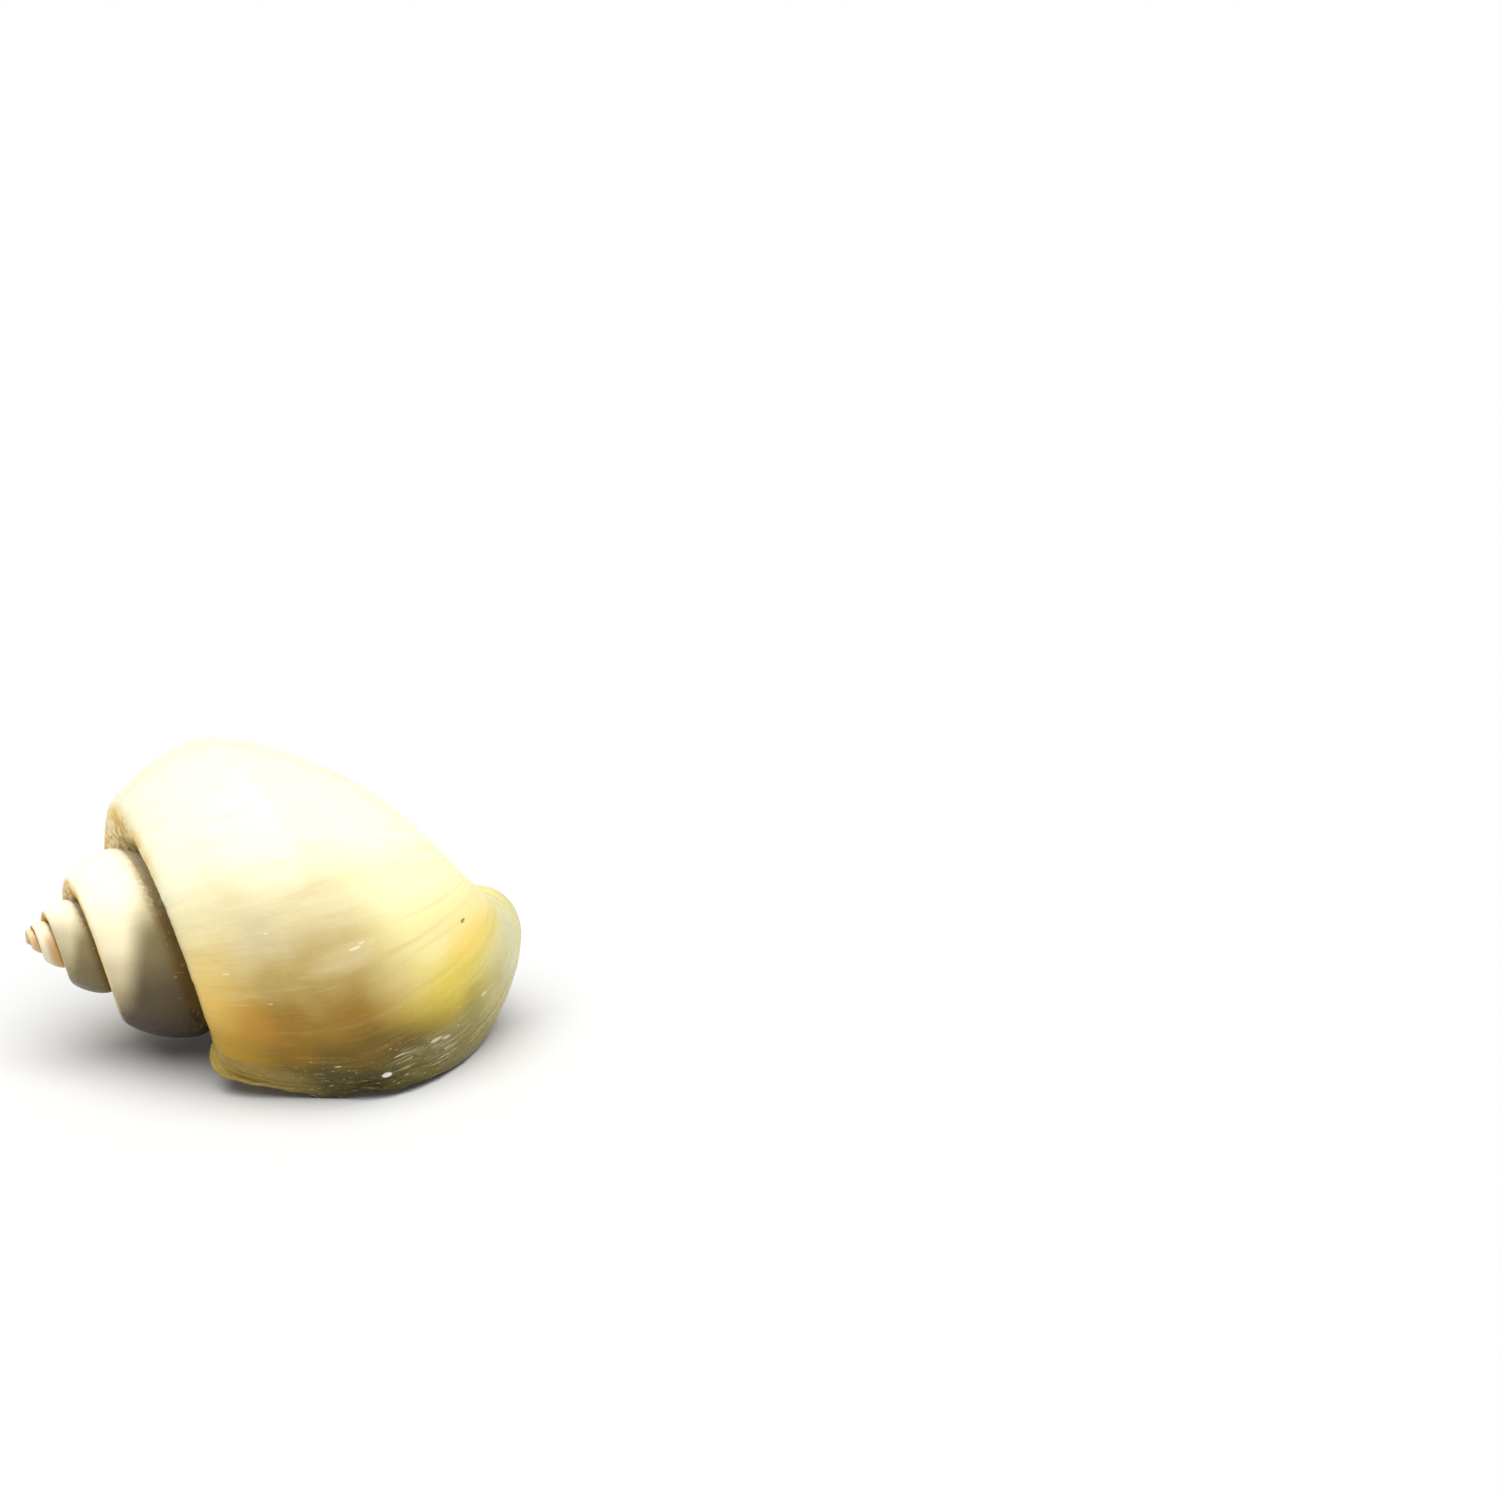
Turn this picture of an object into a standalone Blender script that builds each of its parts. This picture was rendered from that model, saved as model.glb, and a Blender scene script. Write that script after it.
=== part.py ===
"""A life-size apple snail, resting on its outer lip and its drawn-in foot.

Metres, +Z up. +X points to the head end of the shell and -Y to the outer side of its last whorl.
The shell is a spiral: one oval section that grows by a fixed ratio each turn round a tilted axis.
The soft body lies under and behind the shell.
"""

import math

import bmesh
import bpy
from mathutils import Vector

MM = 0.001
TURN = 2.0 * math.pi
GAP = 0.3 * MM

# Spiral of the shell. A growth angle is 0 at the lip and negative towards the apex.
SIZE_PER_TURN = 2.087
RADIUS_PER_TURN = 2.037
SIZE_GROWTH = math.log(SIZE_PER_TURN) / TURN
RADIUS_GROWTH = math.log(RADIUS_PER_TURN) / TURN
SECTION_ALONG_AXIS = 29.0 * MM
SECTION_FROM_AXIS = 14.3 * MM

# Half sizes of the last section, from its centre, and how square each quarter is.
REACH_OUT = 10.65 * MM
REACH_IN = 8.1 * MM
REACH_BASE = 23.3 * MM
REACH_APEX = 12.8 * MM
SQUARE_SHOULDER = 1.375
SQUARE_FLANK = 1.79
SQUARE_COLUMELLA = 2.73
SQUARE_PARIETAL = 2.0
COLUMELLA_FOLD = 4.6 * MM
COLUMELLA_PLACE = math.radians(158.0)
COLUMELLA_SPAN = math.radians(34.0)
SECTION_TILT = math.radians(16.3)

# How far the lip runs ahead of a straight section, in radians of growth.
LIP_BASE_LEAD = 0.495
LIP_OUTER_LAG = 0.52
LIP_TWIST = 0.19
LIP_WAVE = 0.004
LIP_SLANT_SPAN = 1.2

# The base end draws in and runs on a little as it comes to the lip.
BASE_NARROWING = 0.1
BASE_NARROWING_TURN = 0.2
BASE_RUN_ON = 0.94 * MM
BASE_CHANGE_SPAN = 0.75

# The shoulder flares towards the apex close to the lip.
SHOULDER_FLARE = 1.6 * MM
SHOULDER_FLARE_SPAN = 0.22
SHOULDER_FLARE_PLACE = math.radians(262.0)
SHOULDER_FLARE_WIDTH = math.radians(24.0)

# Pose of the shell: the apex, its axis and the roll of the lip about that axis.
APEX = Vector((-24.35 * MM, -7.11 * MM, 11.63 * MM))
AXIS_PITCH = math.radians(8.58)
AXIS_YAW = math.radians(16.05)
LIP_ROLL = math.radians(160.2)
APEX_LEAN = Vector((-0.43 * MM, 0.49 * MM, 1.86 * MM))
APEX_LEAN_SPAN = 3.6 * MM
TIP_SET_IN = 1.5 * MM
TIP_RADIUS = 1.35 * MM

# Wall of the shell and the band of new growth at its lip.
WALL = 1.0 * MM
LIP_BACK_WALL = 0.9 * MM
LIP_EDGE_WALL = 0.5 * MM
LIP_BAND = 0.22
CUT_ANGLE = 0.018
INNER_LIP_WALL = 1.5 * MM
INNER_LIP_EDGE_WALL = 0.9 * MM
OUTER_LIP_FROM = math.radians(-108.0)
OUTER_LIP_TO = math.radians(117.0)
INNER_LIP_TO = math.radians(222.0)
LIP_SPLIT_GAP = math.radians(1.5)
EDGE_SPAN = 0.05
CAVITY_DEPTH = 1.85
CAVITY_STEP = 0.175
MANTLE_EDGE_THICKNESS = 1.7 * MM
TOOTH_PLACE = math.radians(320.0)
NOTCH_PLACE = math.radians(343.0)
TOOTH_LEAD = 0.046
TOOTH_SPAN = math.radians(8.5)
NOTCH_LAG = 0.04
NOTCH_SPAN = math.radians(10.0)
BACK_PLACE = math.radians(278.0)
BACK_LAG = 0.045
BACK_SPAN = math.radians(17.0)

# Mesh density: points round a section, and how much they crowd at its two narrow ends.
BODY_SIDES = 32
SPIRE_SIDES = 24
END_CROWDING = 0.25

# Soft body, in millimetres right of, behind and above the floor point under the apex.
# Lines are read from tail to front or from root to tip, and radii go with places from 0 to 1.
FOOT_LINE = ((12.4, 17.0), (21.6, 15.6), (32.0, 11.0), (43.0, 8.6))
FOOT_HALF_WIDTH = 7.2
FOOT_TOP = ((0.0, 1.3), (0.25, 2.2), (0.55, 3.2), (0.8, 4.0), (1.0, 2.4))
FOOT_RIM = 0.45
FOOT_SPLITS = (0.335, 0.675)
FOOT_SPLIT_GAP = 0.008

NECK_AT_FOOT = (34.0, 5.2, 2.8)
NECK_HALF_LENGTH = 7.8
NECK_HALF_WIDTH = 5.8
NECK_FIRST_ANGLE = -0.59
NECK_LAST_ANGLE = -0.29
NECK_WAIST = 0.42

HEAD_LINE = ((37.3, 3.4, 6.2), (38.4, 9.3, 6.0), (38.9, 15.0, 5.4), (39.4, 20.6, 3.6))
HEAD_SIZES = (
    (0.0, 4.4, 3.2),
    (0.35, 4.5, 3.4),
    (0.62, 3.9, 3.1),
    (0.9, 2.9, 2.2),
    (0.97, 2.4, 1.7),
    (1.0, 1.4, 1.0),
)
HEAD_START = 0.2
MOUTH_START = 0.66
MOUTH_GAP = 0.012
MOUTH_SLIT = (39.4, 20.5, 3.1)
MOUTH_SLIT_HALF_SIZES = (0.28, 1.3, 0.85)

TENTACLE_LEFT = (
    (36.8, 13.1, 7.4),
    (33.6, 17.0, 8.0),
    (29.4, 20.1, 7.0),
    (24.4, 21.9, 5.2),
    (19.9, 22.9, 3.6),
)
TENTACLE_RIGHT = (
    (41.2, 13.1, 7.2),
    (43.5, 16.7, 6.6),
    (43.2, 21.0, 4.8),
    (39.2, 25.7, 3.2),
    (33.2, 27.5, 1.7),
)
TENTACLE_RADII = ((0.0, 1.0), (0.4, 0.7), (1.0, 0.3))
TENTACLE_SPLIT = 0.45
PALP_LEFT = ((38.4, 19.6, 3.4), (37.0, 22.2, 2.6), (35.4, 24.2, 1.9))
PALP_RIGHT = ((40.4, 19.6, 3.4), (40.9, 22.0, 2.4), (39.8, 24.0, 1.5))
PALP_RADII = ((0.0, 0.95), (0.5, 0.7), (1.0, 0.35))
SIPHON = ((34.0, 7.8, 6.0), (32.2, 11.8, 6.6), (29.6, 15.8, 7.4))
SIPHON_RADII = ((0.0, 2.2), (0.6, 1.8), (1.0, 2.3))
EYE_STALK_LEFT = ((36.3, 11.6, 7.4), (34.9, 11.6, 9.0))
EYE_STALK_RIGHT = ((41.0, 11.6, 7.4), (42.6, 11.4, 8.9))
EYE_STALK_RADII = ((0.0, 1.05), (1.0, 0.7))
EYE_RADIUS = 0.75

# The horny lid, on the back of the tail.
OPERCULUM_PLACE = (24.6, 16.2, 3.6)
OPERCULUM_HALF_SIZES = (8.2, 5.6, 0.5)
OPERCULUM_TURN = math.radians(-32.0)
OPERCULUM_TILT = math.radians(-3.0)

SHELL_COLOUR = (0.93, 0.83, 0.62)
FLESH_COLOUR = (0.83, 0.70, 0.47)
EYE_COLOUR = (0.02, 0.015, 0.01)
OPERCULUM_COLOUR = (0.28, 0.14, 0.06)


def material(name, colour, roughness):
    """A plain finish with its own Principled shader."""
    finish = bpy.data.materials.new(name)
    finish.use_nodes = True
    shader = finish.node_tree.nodes["Principled BSDF"]
    shader.inputs["Base Color"].default_value = (*colour, 1.0)
    shader.inputs["Roughness"].default_value = roughness
    shader.inputs["Metallic"].default_value = 0.0
    finish.diffuse_color = (*colour, 1.0)
    return finish


def collection(name):
    group = bpy.data.collections.new(name)
    bpy.context.scene.collection.children.link(group)
    return group


def clear_scene():
    for old in list(bpy.data.objects):
        bpy.data.objects.remove(old, do_unlink=True)


def mesh_object(name, mesh, group):
    thing = bpy.data.objects.new(name, mesh)
    group.objects.link(thing)
    return thing


def loft(name, rings, group):
    """A closed body through rings of equally many points, with a fan over each end."""
    bm = bmesh.new()
    rows = [[bm.verts.new(point) for point in ring] for ring in rings]
    sides = len(rows[0])
    for row, following in zip(rows, rows[1:]):
        for side in range(sides):
            other = (side + 1) % sides
            bm.faces.new((row[side], row[other], following[other], following[side]))
    for row in (rows[0], rows[-1]):
        middle = bm.verts.new(sum((vert.co for vert in row), Vector()) / sides)
        for side in range(sides):
            bm.faces.new((row[side], row[(side + 1) % sides], middle))
    bmesh.ops.recalc_face_normals(bm, faces=bm.faces)
    mesh = bpy.data.meshes.new(name)
    bm.to_mesh(mesh)
    bm.free()
    return mesh_object(name, mesh, group)


def bake(thing):
    """Turns the object, a curve or a mesh with modifiers, into one plain closed mesh."""
    bpy.context.view_layer.update()
    graph = bpy.context.evaluated_depsgraph_get()
    mesh = bpy.data.meshes.new_from_object(thing.evaluated_get(graph))
    if thing.type == "CURVE":
        group = thing.users_collection[0]
        name = thing.name
        place = thing.matrix_world.copy()
        bpy.data.objects.remove(thing, do_unlink=True)
        thing = mesh_object(name, mesh, group)
        thing.matrix_world = place
    else:
        thing.modifiers.clear()
        thing.data = mesh
    keep_largest(thing.data)
    return thing


def keep_largest(mesh):
    """Welds doubled points and keeps the body with the most faces."""
    bm = bmesh.new()
    bm.from_mesh(mesh)
    bmesh.ops.remove_doubles(bm, verts=bm.verts, dist=0.001 * MM)
    unseen = set(bm.faces)
    bodies = []
    while unseen:
        front = [unseen.pop()]
        body = list(front)
        while front:
            face = front.pop()
            for edge in face.edges:
                for neighbour in edge.link_faces:
                    if neighbour in unseen:
                        unseen.remove(neighbour)
                        front.append(neighbour)
                        body.append(neighbour)
        bodies.append(body)
    bodies.sort(key=len, reverse=True)
    scraps = [face for body in bodies[1:] for face in body]
    bmesh.ops.delete(bm, geom=scraps, context="FACES")
    bm.to_mesh(mesh)
    bm.free()


def grown_copy(thing, distance, group):
    """A copy of the mesh with its surface moved out by the distance, to cut with."""
    bm = bmesh.new()
    bm.from_mesh(thing.data)
    bm.transform(thing.matrix_world)
    bmesh.ops.triangulate(bm, faces=bm.faces)
    bm.normal_update()
    moves = [vert.normal * distance * min(vert.calc_shell_factor(), 2.0) for vert in bm.verts]
    for vert, move in zip(bm.verts, moves):
        vert.co += move
    mesh = bpy.data.meshes.new(thing.name + "_grown")
    bm.to_mesh(mesh)
    bm.free()
    return as_cutter(mesh_object(mesh.name, mesh, group))


def as_cutter(thing):
    thing.hide_render = True
    thing.display_type = "WIRE"
    return thing


def combine(thing, other, operation, solver="MANIFOLD"):
    """One Boolean of the other closed mesh on the thing, applied at once."""
    change = thing.modifiers.new(operation.title(), "BOOLEAN")
    change.operation = operation
    change.solver = solver
    change.object = other
    return bake(thing)


def carve(thing, neighbours, cutters):
    """Cuts the thing clear of each neighbour, with the gap that touching pieces keep."""
    for neighbour in neighbours:
        grown = grown_copy(neighbour, GAP, cutters)
        thing = combine(thing, grown, "DIFFERENCE")
        bpy.data.objects.remove(grown, do_unlink=True)
    return thing


def floor_block(cutters):
    """The block of ground under everything, whose top face is the floor."""
    size = 120.0 * MM
    bpy.ops.mesh.primitive_cube_add(size=size, location=(0.0, 0.0, -size / 2.0))
    block = bpy.context.object
    block.name = "floor_block"
    for group in list(block.users_collection):
        group.objects.unlink(block)
    cutters.objects.link(block)
    return as_cutter(block)


def shade(thing, finish):
    """Gives the thing its finish and smooth faces with crisp edges."""
    thing.data.materials.clear()
    thing.data.materials.append(finish)
    thing.data.shade_smooth()
    thing.data.set_sharp_from_angle(angle=math.radians(40.0))
    return thing


def shell_axes():
    """The axis of the spiral and the two directions across it, up and to the side."""
    axis = Vector((
        math.cos(AXIS_PITCH) * math.cos(AXIS_YAW),
        math.cos(AXIS_PITCH) * math.sin(AXIS_YAW),
        math.sin(AXIS_PITCH),
    ))
    up = Vector((0.0, 0.0, 1.0))
    up = (up - axis * up.dot(axis)).normalized()
    return axis, up, axis.cross(up)


def section_offset(side):
    """The last section's outline from its centre: along the axis and away from it.

    The side angle is 0 outward, 90 degrees to the base, 180 inward and 270 to the apex.
    """
    outward = math.cos(side)
    baseward = math.sin(side)
    reach_axial = REACH_BASE if baseward > 0.0 else REACH_APEX
    if outward > 0.0:
        reach_radial = REACH_OUT
        square = SQUARE_FLANK if baseward > 0.0 else SQUARE_SHOULDER
        fold = 0.0
    else:
        reach_radial = REACH_IN
        square = SQUARE_COLUMELLA if baseward > 0.0 else SQUARE_PARIETAL
        fold = COLUMELLA_FOLD * hump(side, COLUMELLA_PLACE, COLUMELLA_SPAN)
    total = abs(outward / reach_radial) ** square + abs(baseward / reach_axial) ** square
    size = total ** (-1.0 / square)
    radial = (size + fold) * outward
    axial = size * baseward
    tilt_cos = math.cos(SECTION_TILT)
    tilt_sin = math.sin(SECTION_TILT)
    return axial * tilt_cos + radial * tilt_sin, radial * tilt_cos - axial * tilt_sin


def hump(side, place, span):
    """A smooth hump, 1 at its place round the section and 0 a few spans away."""
    away = (side - place + math.pi) % TURN - math.pi
    return math.exp(-((away / span) ** 2))


def near_lip(angle, span):
    """1 at the lip and less with each span of growth before it."""
    return math.exp(min(angle, 0.0) / span)


def lip_lead(side, angle):
    """How far growth at this side runs ahead of the section's own angle, near the lip."""
    fade = min(max(1.0 + angle / LIP_SLANT_SPAN, 0.0), 1.0) ** 2
    slant = LIP_BASE_LEAD * math.sin(side) - LIP_OUTER_LAG * math.cos(side)
    slant -= LIP_TWIST * math.sin(2.0 * side) + LIP_WAVE * math.cos(2.0 * side)
    tooth = TOOTH_LEAD * hump(side, TOOTH_PLACE, TOOTH_SPAN)
    notch = NOTCH_LAG * hump(side, NOTCH_PLACE, NOTCH_SPAN)
    notch += BACK_LAG * hump(side, BACK_PLACE, BACK_SPAN)
    return fade * slant + near_lip(angle, EDGE_SPAN) * (tooth - notch)


def shell_point(angle, side, grow=0.0):
    """A point of the spiral tube, moved out from the section's centre by grow."""
    scale = math.exp(SIZE_GROWTH * angle)
    axial, radial = section_offset(side)
    flare = SHOULDER_FLARE * near_lip(angle, SHOULDER_FLARE_SPAN)
    grow += flare * hump(side, SHOULDER_FLARE_PLACE, SHOULDER_FLARE_WIDTH)
    late = near_lip(angle, BASE_CHANGE_SPAN)
    narrow = 1.0 - BASE_NARROWING * late * max(math.sin(side - BASE_NARROWING_TURN), 0.0) ** 2
    axial = axial * narrow + BASE_RUN_ON / scale * late * max(math.sin(side), 0.0) ** 2
    radial *= narrow
    away = math.hypot(axial, radial)
    axial += axial / away * grow / scale
    radial += radial / away * grow / scale
    along = scale * (SECTION_ALONG_AXIS + axial)
    out = max(math.exp(RADIUS_GROWTH * angle) * SECTION_FROM_AXIS + scale * radial, 0.02 * MM)
    turn = LIP_ROLL + angle + lip_lead(side, angle)
    axis, up, across = shell_axes()
    point = APEX + axis * along + (up * math.cos(turn) + across * math.sin(turn)) * out
    return point + APEX_LEAN * math.exp(-along / APEX_LEAN_SPAN)


def side_angle(index, sides):
    """The side angle of a point round a section, with more points at its two narrow ends."""
    even = TURN * index / sides
    return even + END_CROWDING * math.sin(2.0 * even)


def section_ring(angle, sides, grow):
    return [shell_point(angle, side_angle(index, sides), grow) for index in range(sides)]


def tube(name, start, end, steps, sides, group, grow=0.0):
    """A closed length of the spiral tube between two growth angles."""
    rings = [section_ring(start + (end - start) * step / steps, sides, grow) for step in range(steps + 1)]
    return loft(name, rings, group)


def whorl(name, first_turn, last_turn, steps, sides, group, cutters):
    """A whorl between two turns back from the lip, cut to lie against the one before it."""
    piece = tube(name, -first_turn * TURN, -last_turn * TURN, steps, sides, group)
    end = -first_turn * TURN + CUT_ANGLE
    before = tube("before", -(first_turn + 1.0) * TURN, end, steps, sides, cutters, GAP)
    piece = combine(piece, as_cutter(before), "DIFFERENCE")
    bpy.data.objects.remove(before, do_unlink=True)
    return piece


def shell_apex(group, cutters):
    """The first whorls, grown together into one blunt, worn tip."""
    tip = tube("shell_apex", -4.0 * TURN, -3.0 * TURN, 16, 12, group)
    axis, up, across = shell_axes()
    place = APEX + axis * TIP_SET_IN + APEX_LEAN * math.exp(-TIP_SET_IN / APEX_LEAN_SPAN)
    bpy.ops.mesh.primitive_uv_sphere_add(segments=12, ring_count=8, radius=TIP_RADIUS, location=place)
    ball = as_cutter(move_to(bpy.context.object, cutters))
    tip = combine(tip, ball, "UNION")
    bpy.data.objects.remove(ball, do_unlink=True)
    return tip


def previous_whorl(start, end, cutters):
    """The whorl that the lip grows over, with the gap round it."""
    return as_cutter(tube("previous", -TURN + start, -TURN + end, 24, 24, cutters, GAP))


def body_whorl(group, cutters):
    """The last whorl up to the lip band, hollow where the animal comes out."""
    piece = tube("shell_body_whorl", -TURN, -LIP_BAND, 36, BODY_SIDES, group)
    steps = 12
    mouth = -CAVITY_DEPTH + steps * CAVITY_STEP
    cavity = tube("cavity", -CAVITY_DEPTH, mouth, steps, BODY_SIDES, cutters, -WALL)
    piece = combine(piece, as_cutter(cavity), "DIFFERENCE")
    before = previous_whorl(-TURN, CUT_ANGLE, cutters)
    piece = combine(piece, before, "DIFFERENCE")
    bpy.data.objects.remove(cavity, do_unlink=True)
    bpy.data.objects.remove(before, do_unlink=True)
    return piece


def lip_band(name, first_side, last_side, steps, back_wall, edge_wall, group, cutters):
    """A stretch of the lip between two side angles, thinning to its rounded edge."""
    back = -LIP_BAND + CUT_ANGLE
    levels = (
        (back, 0.0),
        (back * 0.55, 0.0),
        (back * 0.2, 0.0),
        (0.0, -0.3 * edge_wall),
        (0.0, -0.75 * edge_wall),
        (back * 0.2, -0.2 * back_wall - 0.8 * edge_wall),
        (back * 0.55, -0.6 * back_wall - 0.4 * edge_wall),
        (back, -back_wall),
    )
    rings = []
    for step in range(steps + 1):
        side = first_side + (last_side - first_side) * step / steps
        rings.append([shell_point(angle, side, grow) for angle, grow in levels])
    piece = loft(name, rings, group)
    before = previous_whorl(-1.0, 0.8, cutters)
    piece = combine(piece, before, "DIFFERENCE")
    bpy.data.objects.remove(before, do_unlink=True)
    return piece


def mantle(group):
    """The soft body that fills the hollow of the last whorl, ring for ring inside it."""
    inset = -WALL - GAP
    first = -CAVITY_DEPTH + 0.04
    angles = [first] + [-CAVITY_DEPTH + CAVITY_STEP * step for step in range(1, 8)]
    rings = []
    for angle in angles:
        rings.append(section_ring(angle, BODY_SIDES, inset))
    return loft("mantle", rings, group)


def mantle_edge(group):
    """The thick rim of soft skin that lines the outer lip."""
    outer = -WALL - GAP
    inner = outer - MANTLE_EDGE_THICKNESS
    levels = (
        (-0.58, outer),
        (-0.275, outer),
        (-0.15, outer - 0.5 * MM),
        (-0.17, inner),
        (-0.58, inner - 0.4 * MM),
    )
    rings = []
    for index in range(-6, 11):
        side = side_angle(index, BODY_SIDES)
        rings.append([shell_point(angle, side, grow) for angle, grow in levels])
    return loft("mantle_edge", rings, group)


def under(right, behind, above):
    """A place in millimetres from the floor point under the apex."""
    return Vector((APEX.x + right * MM, APEX.y + behind * MM, above * MM))


def smooth_between(table, place):
    """Reads a value from (place, value) pairs, easing from one to the next."""
    for (start, low), (end, high) in zip(table, table[1:]):
        if place <= end:
            part = min(max((place - start) / (end - start), 0.0), 1.0)
            part = part * part * (3.0 - 2.0 * part)
            return low + (high - low) * part
    return table[-1][1]


def along_line(points, place):
    """A point on the smooth line through the points, at 0 to 1 of its length."""
    spots = [Vector(point) for point in points]
    spans = len(spots) - 1
    index = min(int(place * spans), spans - 1)
    part = place * spans - index
    first = spots[max(index - 1, 0)]
    second = spots[index]
    third = spots[index + 1]
    fourth = spots[min(index + 2, spans)]
    return 0.5 * (
        2.0 * second
        + (third - first) * part
        + (2.0 * first - 5.0 * second + 4.0 * third - fourth) * part ** 2
        + (3.0 * second - first - 3.0 * third + fourth) * part ** 3
    )


def foot_ring(place):
    """One slice across the foot: a flat sole, a thin rim and a low rounded back."""
    line = [(x, y, 0.0) for x, y in FOOT_LINE]
    middle = along_line(line, place)
    ahead = along_line(line, min(place + 0.01, 1.0)) - along_line(line, max(place - 0.01, 0.0))
    ahead.normalize()
    left = Vector((-ahead.y, ahead.x, 0.0))
    round_end = (1.0 - abs(2.0 * place - 1.0) ** 3.2) ** 0.5
    width = FOOT_HALF_WIDTH * max(round_end, 0.22)
    top = smooth_between(FOOT_TOP, place) * max(round_end, 0.45)
    outline = [(-0.97, 0.0), (-0.4, 0.0), (0.4, 0.0), (0.97, 0.0), (1.0, FOOT_RIM)]
    for across in (0.86, 0.6, 0.0, -0.6, -0.86):
        outline.append((across, FOOT_RIM + (top - FOOT_RIM) * (1.0 - abs(across) ** 2.6) ** 0.7))
    outline.append((-1.0, FOOT_RIM))
    ring = []
    for across, height in outline:
        spot = middle + left * (across * width)
        ring.append(under(spot.x, spot.y, height))
    return ring


def foot_length(name, start, end, steps, group):
    """A length of the foot between two places along it."""
    rings = [foot_ring(start + (end - start) * step / steps) for step in range(steps + 1)]
    return loft(name, rings, group)


def neck_ring(blend, sides):
    """One ring of the neck, from the section inside the shell (0) to the oval on the foot (1)."""
    angle = NECK_FIRST_ANGLE + (NECK_LAST_ANGLE - NECK_FIRST_ANGLE) * blend
    inside = section_ring(angle, sides, -WALL - 1.3 * GAP)
    centre = sum(inside, Vector()) / sides
    shrink = NECK_WAIST * min(blend * 3.0, 1.0)
    eased = blend * blend * (3.0 - 2.0 * blend)
    ring = []
    for side, spot in enumerate(inside):
        turn = side_angle(side, sides)
        across = NECK_AT_FOOT[1] - NECK_HALF_WIDTH * math.cos(turn)
        ahead = NECK_AT_FOOT[0] + NECK_HALF_LENGTH * math.sin(turn)
        outside = under(ahead, across, NECK_AT_FOOT[2])
        ring.append(spot.lerp(centre, shrink).lerp(outside, eased))
    return ring


def neck(group):
    """The muscular column that joins the body inside the shell to the foot."""
    sides = 24
    places = (0.0, 0.06, 0.2, 0.35, 0.5, 0.65, 0.8, 0.92, 1.0)
    return loft("neck", [neck_ring(place, sides) for place in places], group)


def oval_sweep(name, points, half_sizes, start, end, steps, sides, group):
    """A rounded body along a smooth line, with its half width and half height at each place."""
    widths = [(place, width) for place, width, height in half_sizes]
    heights = [(place, height) for place, width, height in half_sizes]
    rings = []
    for step in range(steps + 1):
        place = start + (end - start) * step / steps
        middle = along_line(points, place)
        ahead = along_line(points, min(place + 0.01, 1.0)) - along_line(points, max(place - 0.01, 0.0))
        ahead.normalize()
        left = Vector((0.0, 0.0, 1.0)).cross(ahead).normalized()
        top = ahead.cross(left)
        width = smooth_between(widths, place)
        height = smooth_between(heights, place)
        ring = []
        for side in range(sides):
            turn = TURN * side / sides
            spot = middle + left * (width * math.cos(turn)) + top * (height * math.sin(turn))
            ring.append(under(spot.x, spot.y, spot.z))
        rings.append(ring)
    return loft(name, rings, group)


def head(group):
    """The back of the head, up to the cut before the mouth."""
    return oval_sweep("head", HEAD_LINE, HEAD_SIZES, HEAD_START, MOUTH_START, 5, 18, group)


def snout(group):
    """The blunt front of the head, with the mouth at its tip."""
    return oval_sweep("snout", HEAD_LINE, HEAD_SIZES, MOUTH_START + MOUTH_GAP, 1.0, 6, 18, group)


def mouth_slit(cutters):
    """A flat upright oval that cuts the mouth into the tip of the snout."""
    place = under(*MOUTH_SLIT)
    bpy.ops.mesh.primitive_uv_sphere_add(segments=16, ring_count=8, radius=MM, location=place)
    slit = bpy.context.object
    slit.name = "mouth_slit"
    slit.scale = MOUTH_SLIT_HALF_SIZES
    return as_cutter(move_to(slit, cutters))


def feeler(name, points, radii, group, count=9, resolution=2):
    """A tapering round feeler along a smooth line, as a bevelled curve."""
    line = bpy.data.curves.new(name, "CURVE")
    line.dimensions = "3D"
    line.bevel_depth = MM
    line.bevel_resolution = resolution
    line.use_fill_caps = True
    spline = line.splines.new("POLY")
    spline.points.add(count - 1)
    for index in range(count):
        place = index / (count - 1)
        spot = along_line(points, place)
        spline.points[index].co = (*under(spot.x, spot.y, spot.z), 1.0)
        spline.points[index].radius = smooth_between(radii, place)
    thing = mesh_object(name, line, group)
    return bake(thing)


def feeler_length(name, points, radii, start, end, group):
    """A length of a long feeler between two places along it."""
    steps = 6
    places = [start + (end - start) * step / steps for step in range(steps + 1)]
    spots = [along_line(points, place) for place in places]
    sizes = [(step / steps, smooth_between(radii, place)) for step, place in enumerate(places)]
    return feeler(name, spots, sizes, group)


def tentacle(name, points, group):
    """A long feeler in two lengths, parted by a thin cut."""
    total = sum((Vector(spot) - Vector(following)).length for spot, following in zip(points, points[1:]))
    restart = TENTACLE_SPLIT + GAP / MM / total
    base = feeler_length(name + "_base", points, TENTACLE_RADII, 0.0, TENTACLE_SPLIT, group)
    tip = feeler_length(name + "_tip", points, TENTACLE_RADII, restart, 1.0, group)
    return base, tip


def eye(name, stalk, group):
    """A ball at the end of its stalk."""
    foot = Vector(stalk[0])
    tip = Vector(stalk[1])
    reach = tip + (tip - foot).normalized() * (0.75 * EYE_RADIUS)
    place = under(*reach)
    bpy.ops.mesh.primitive_uv_sphere_add(segments=12, ring_count=8, radius=EYE_RADIUS * MM, location=place)
    ball = bpy.context.object
    ball.name = name
    return move_to(ball, group)


def move_to(thing, group):
    for old in list(thing.users_collection):
        old.objects.unlink(thing)
    group.objects.link(thing)
    return thing


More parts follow.
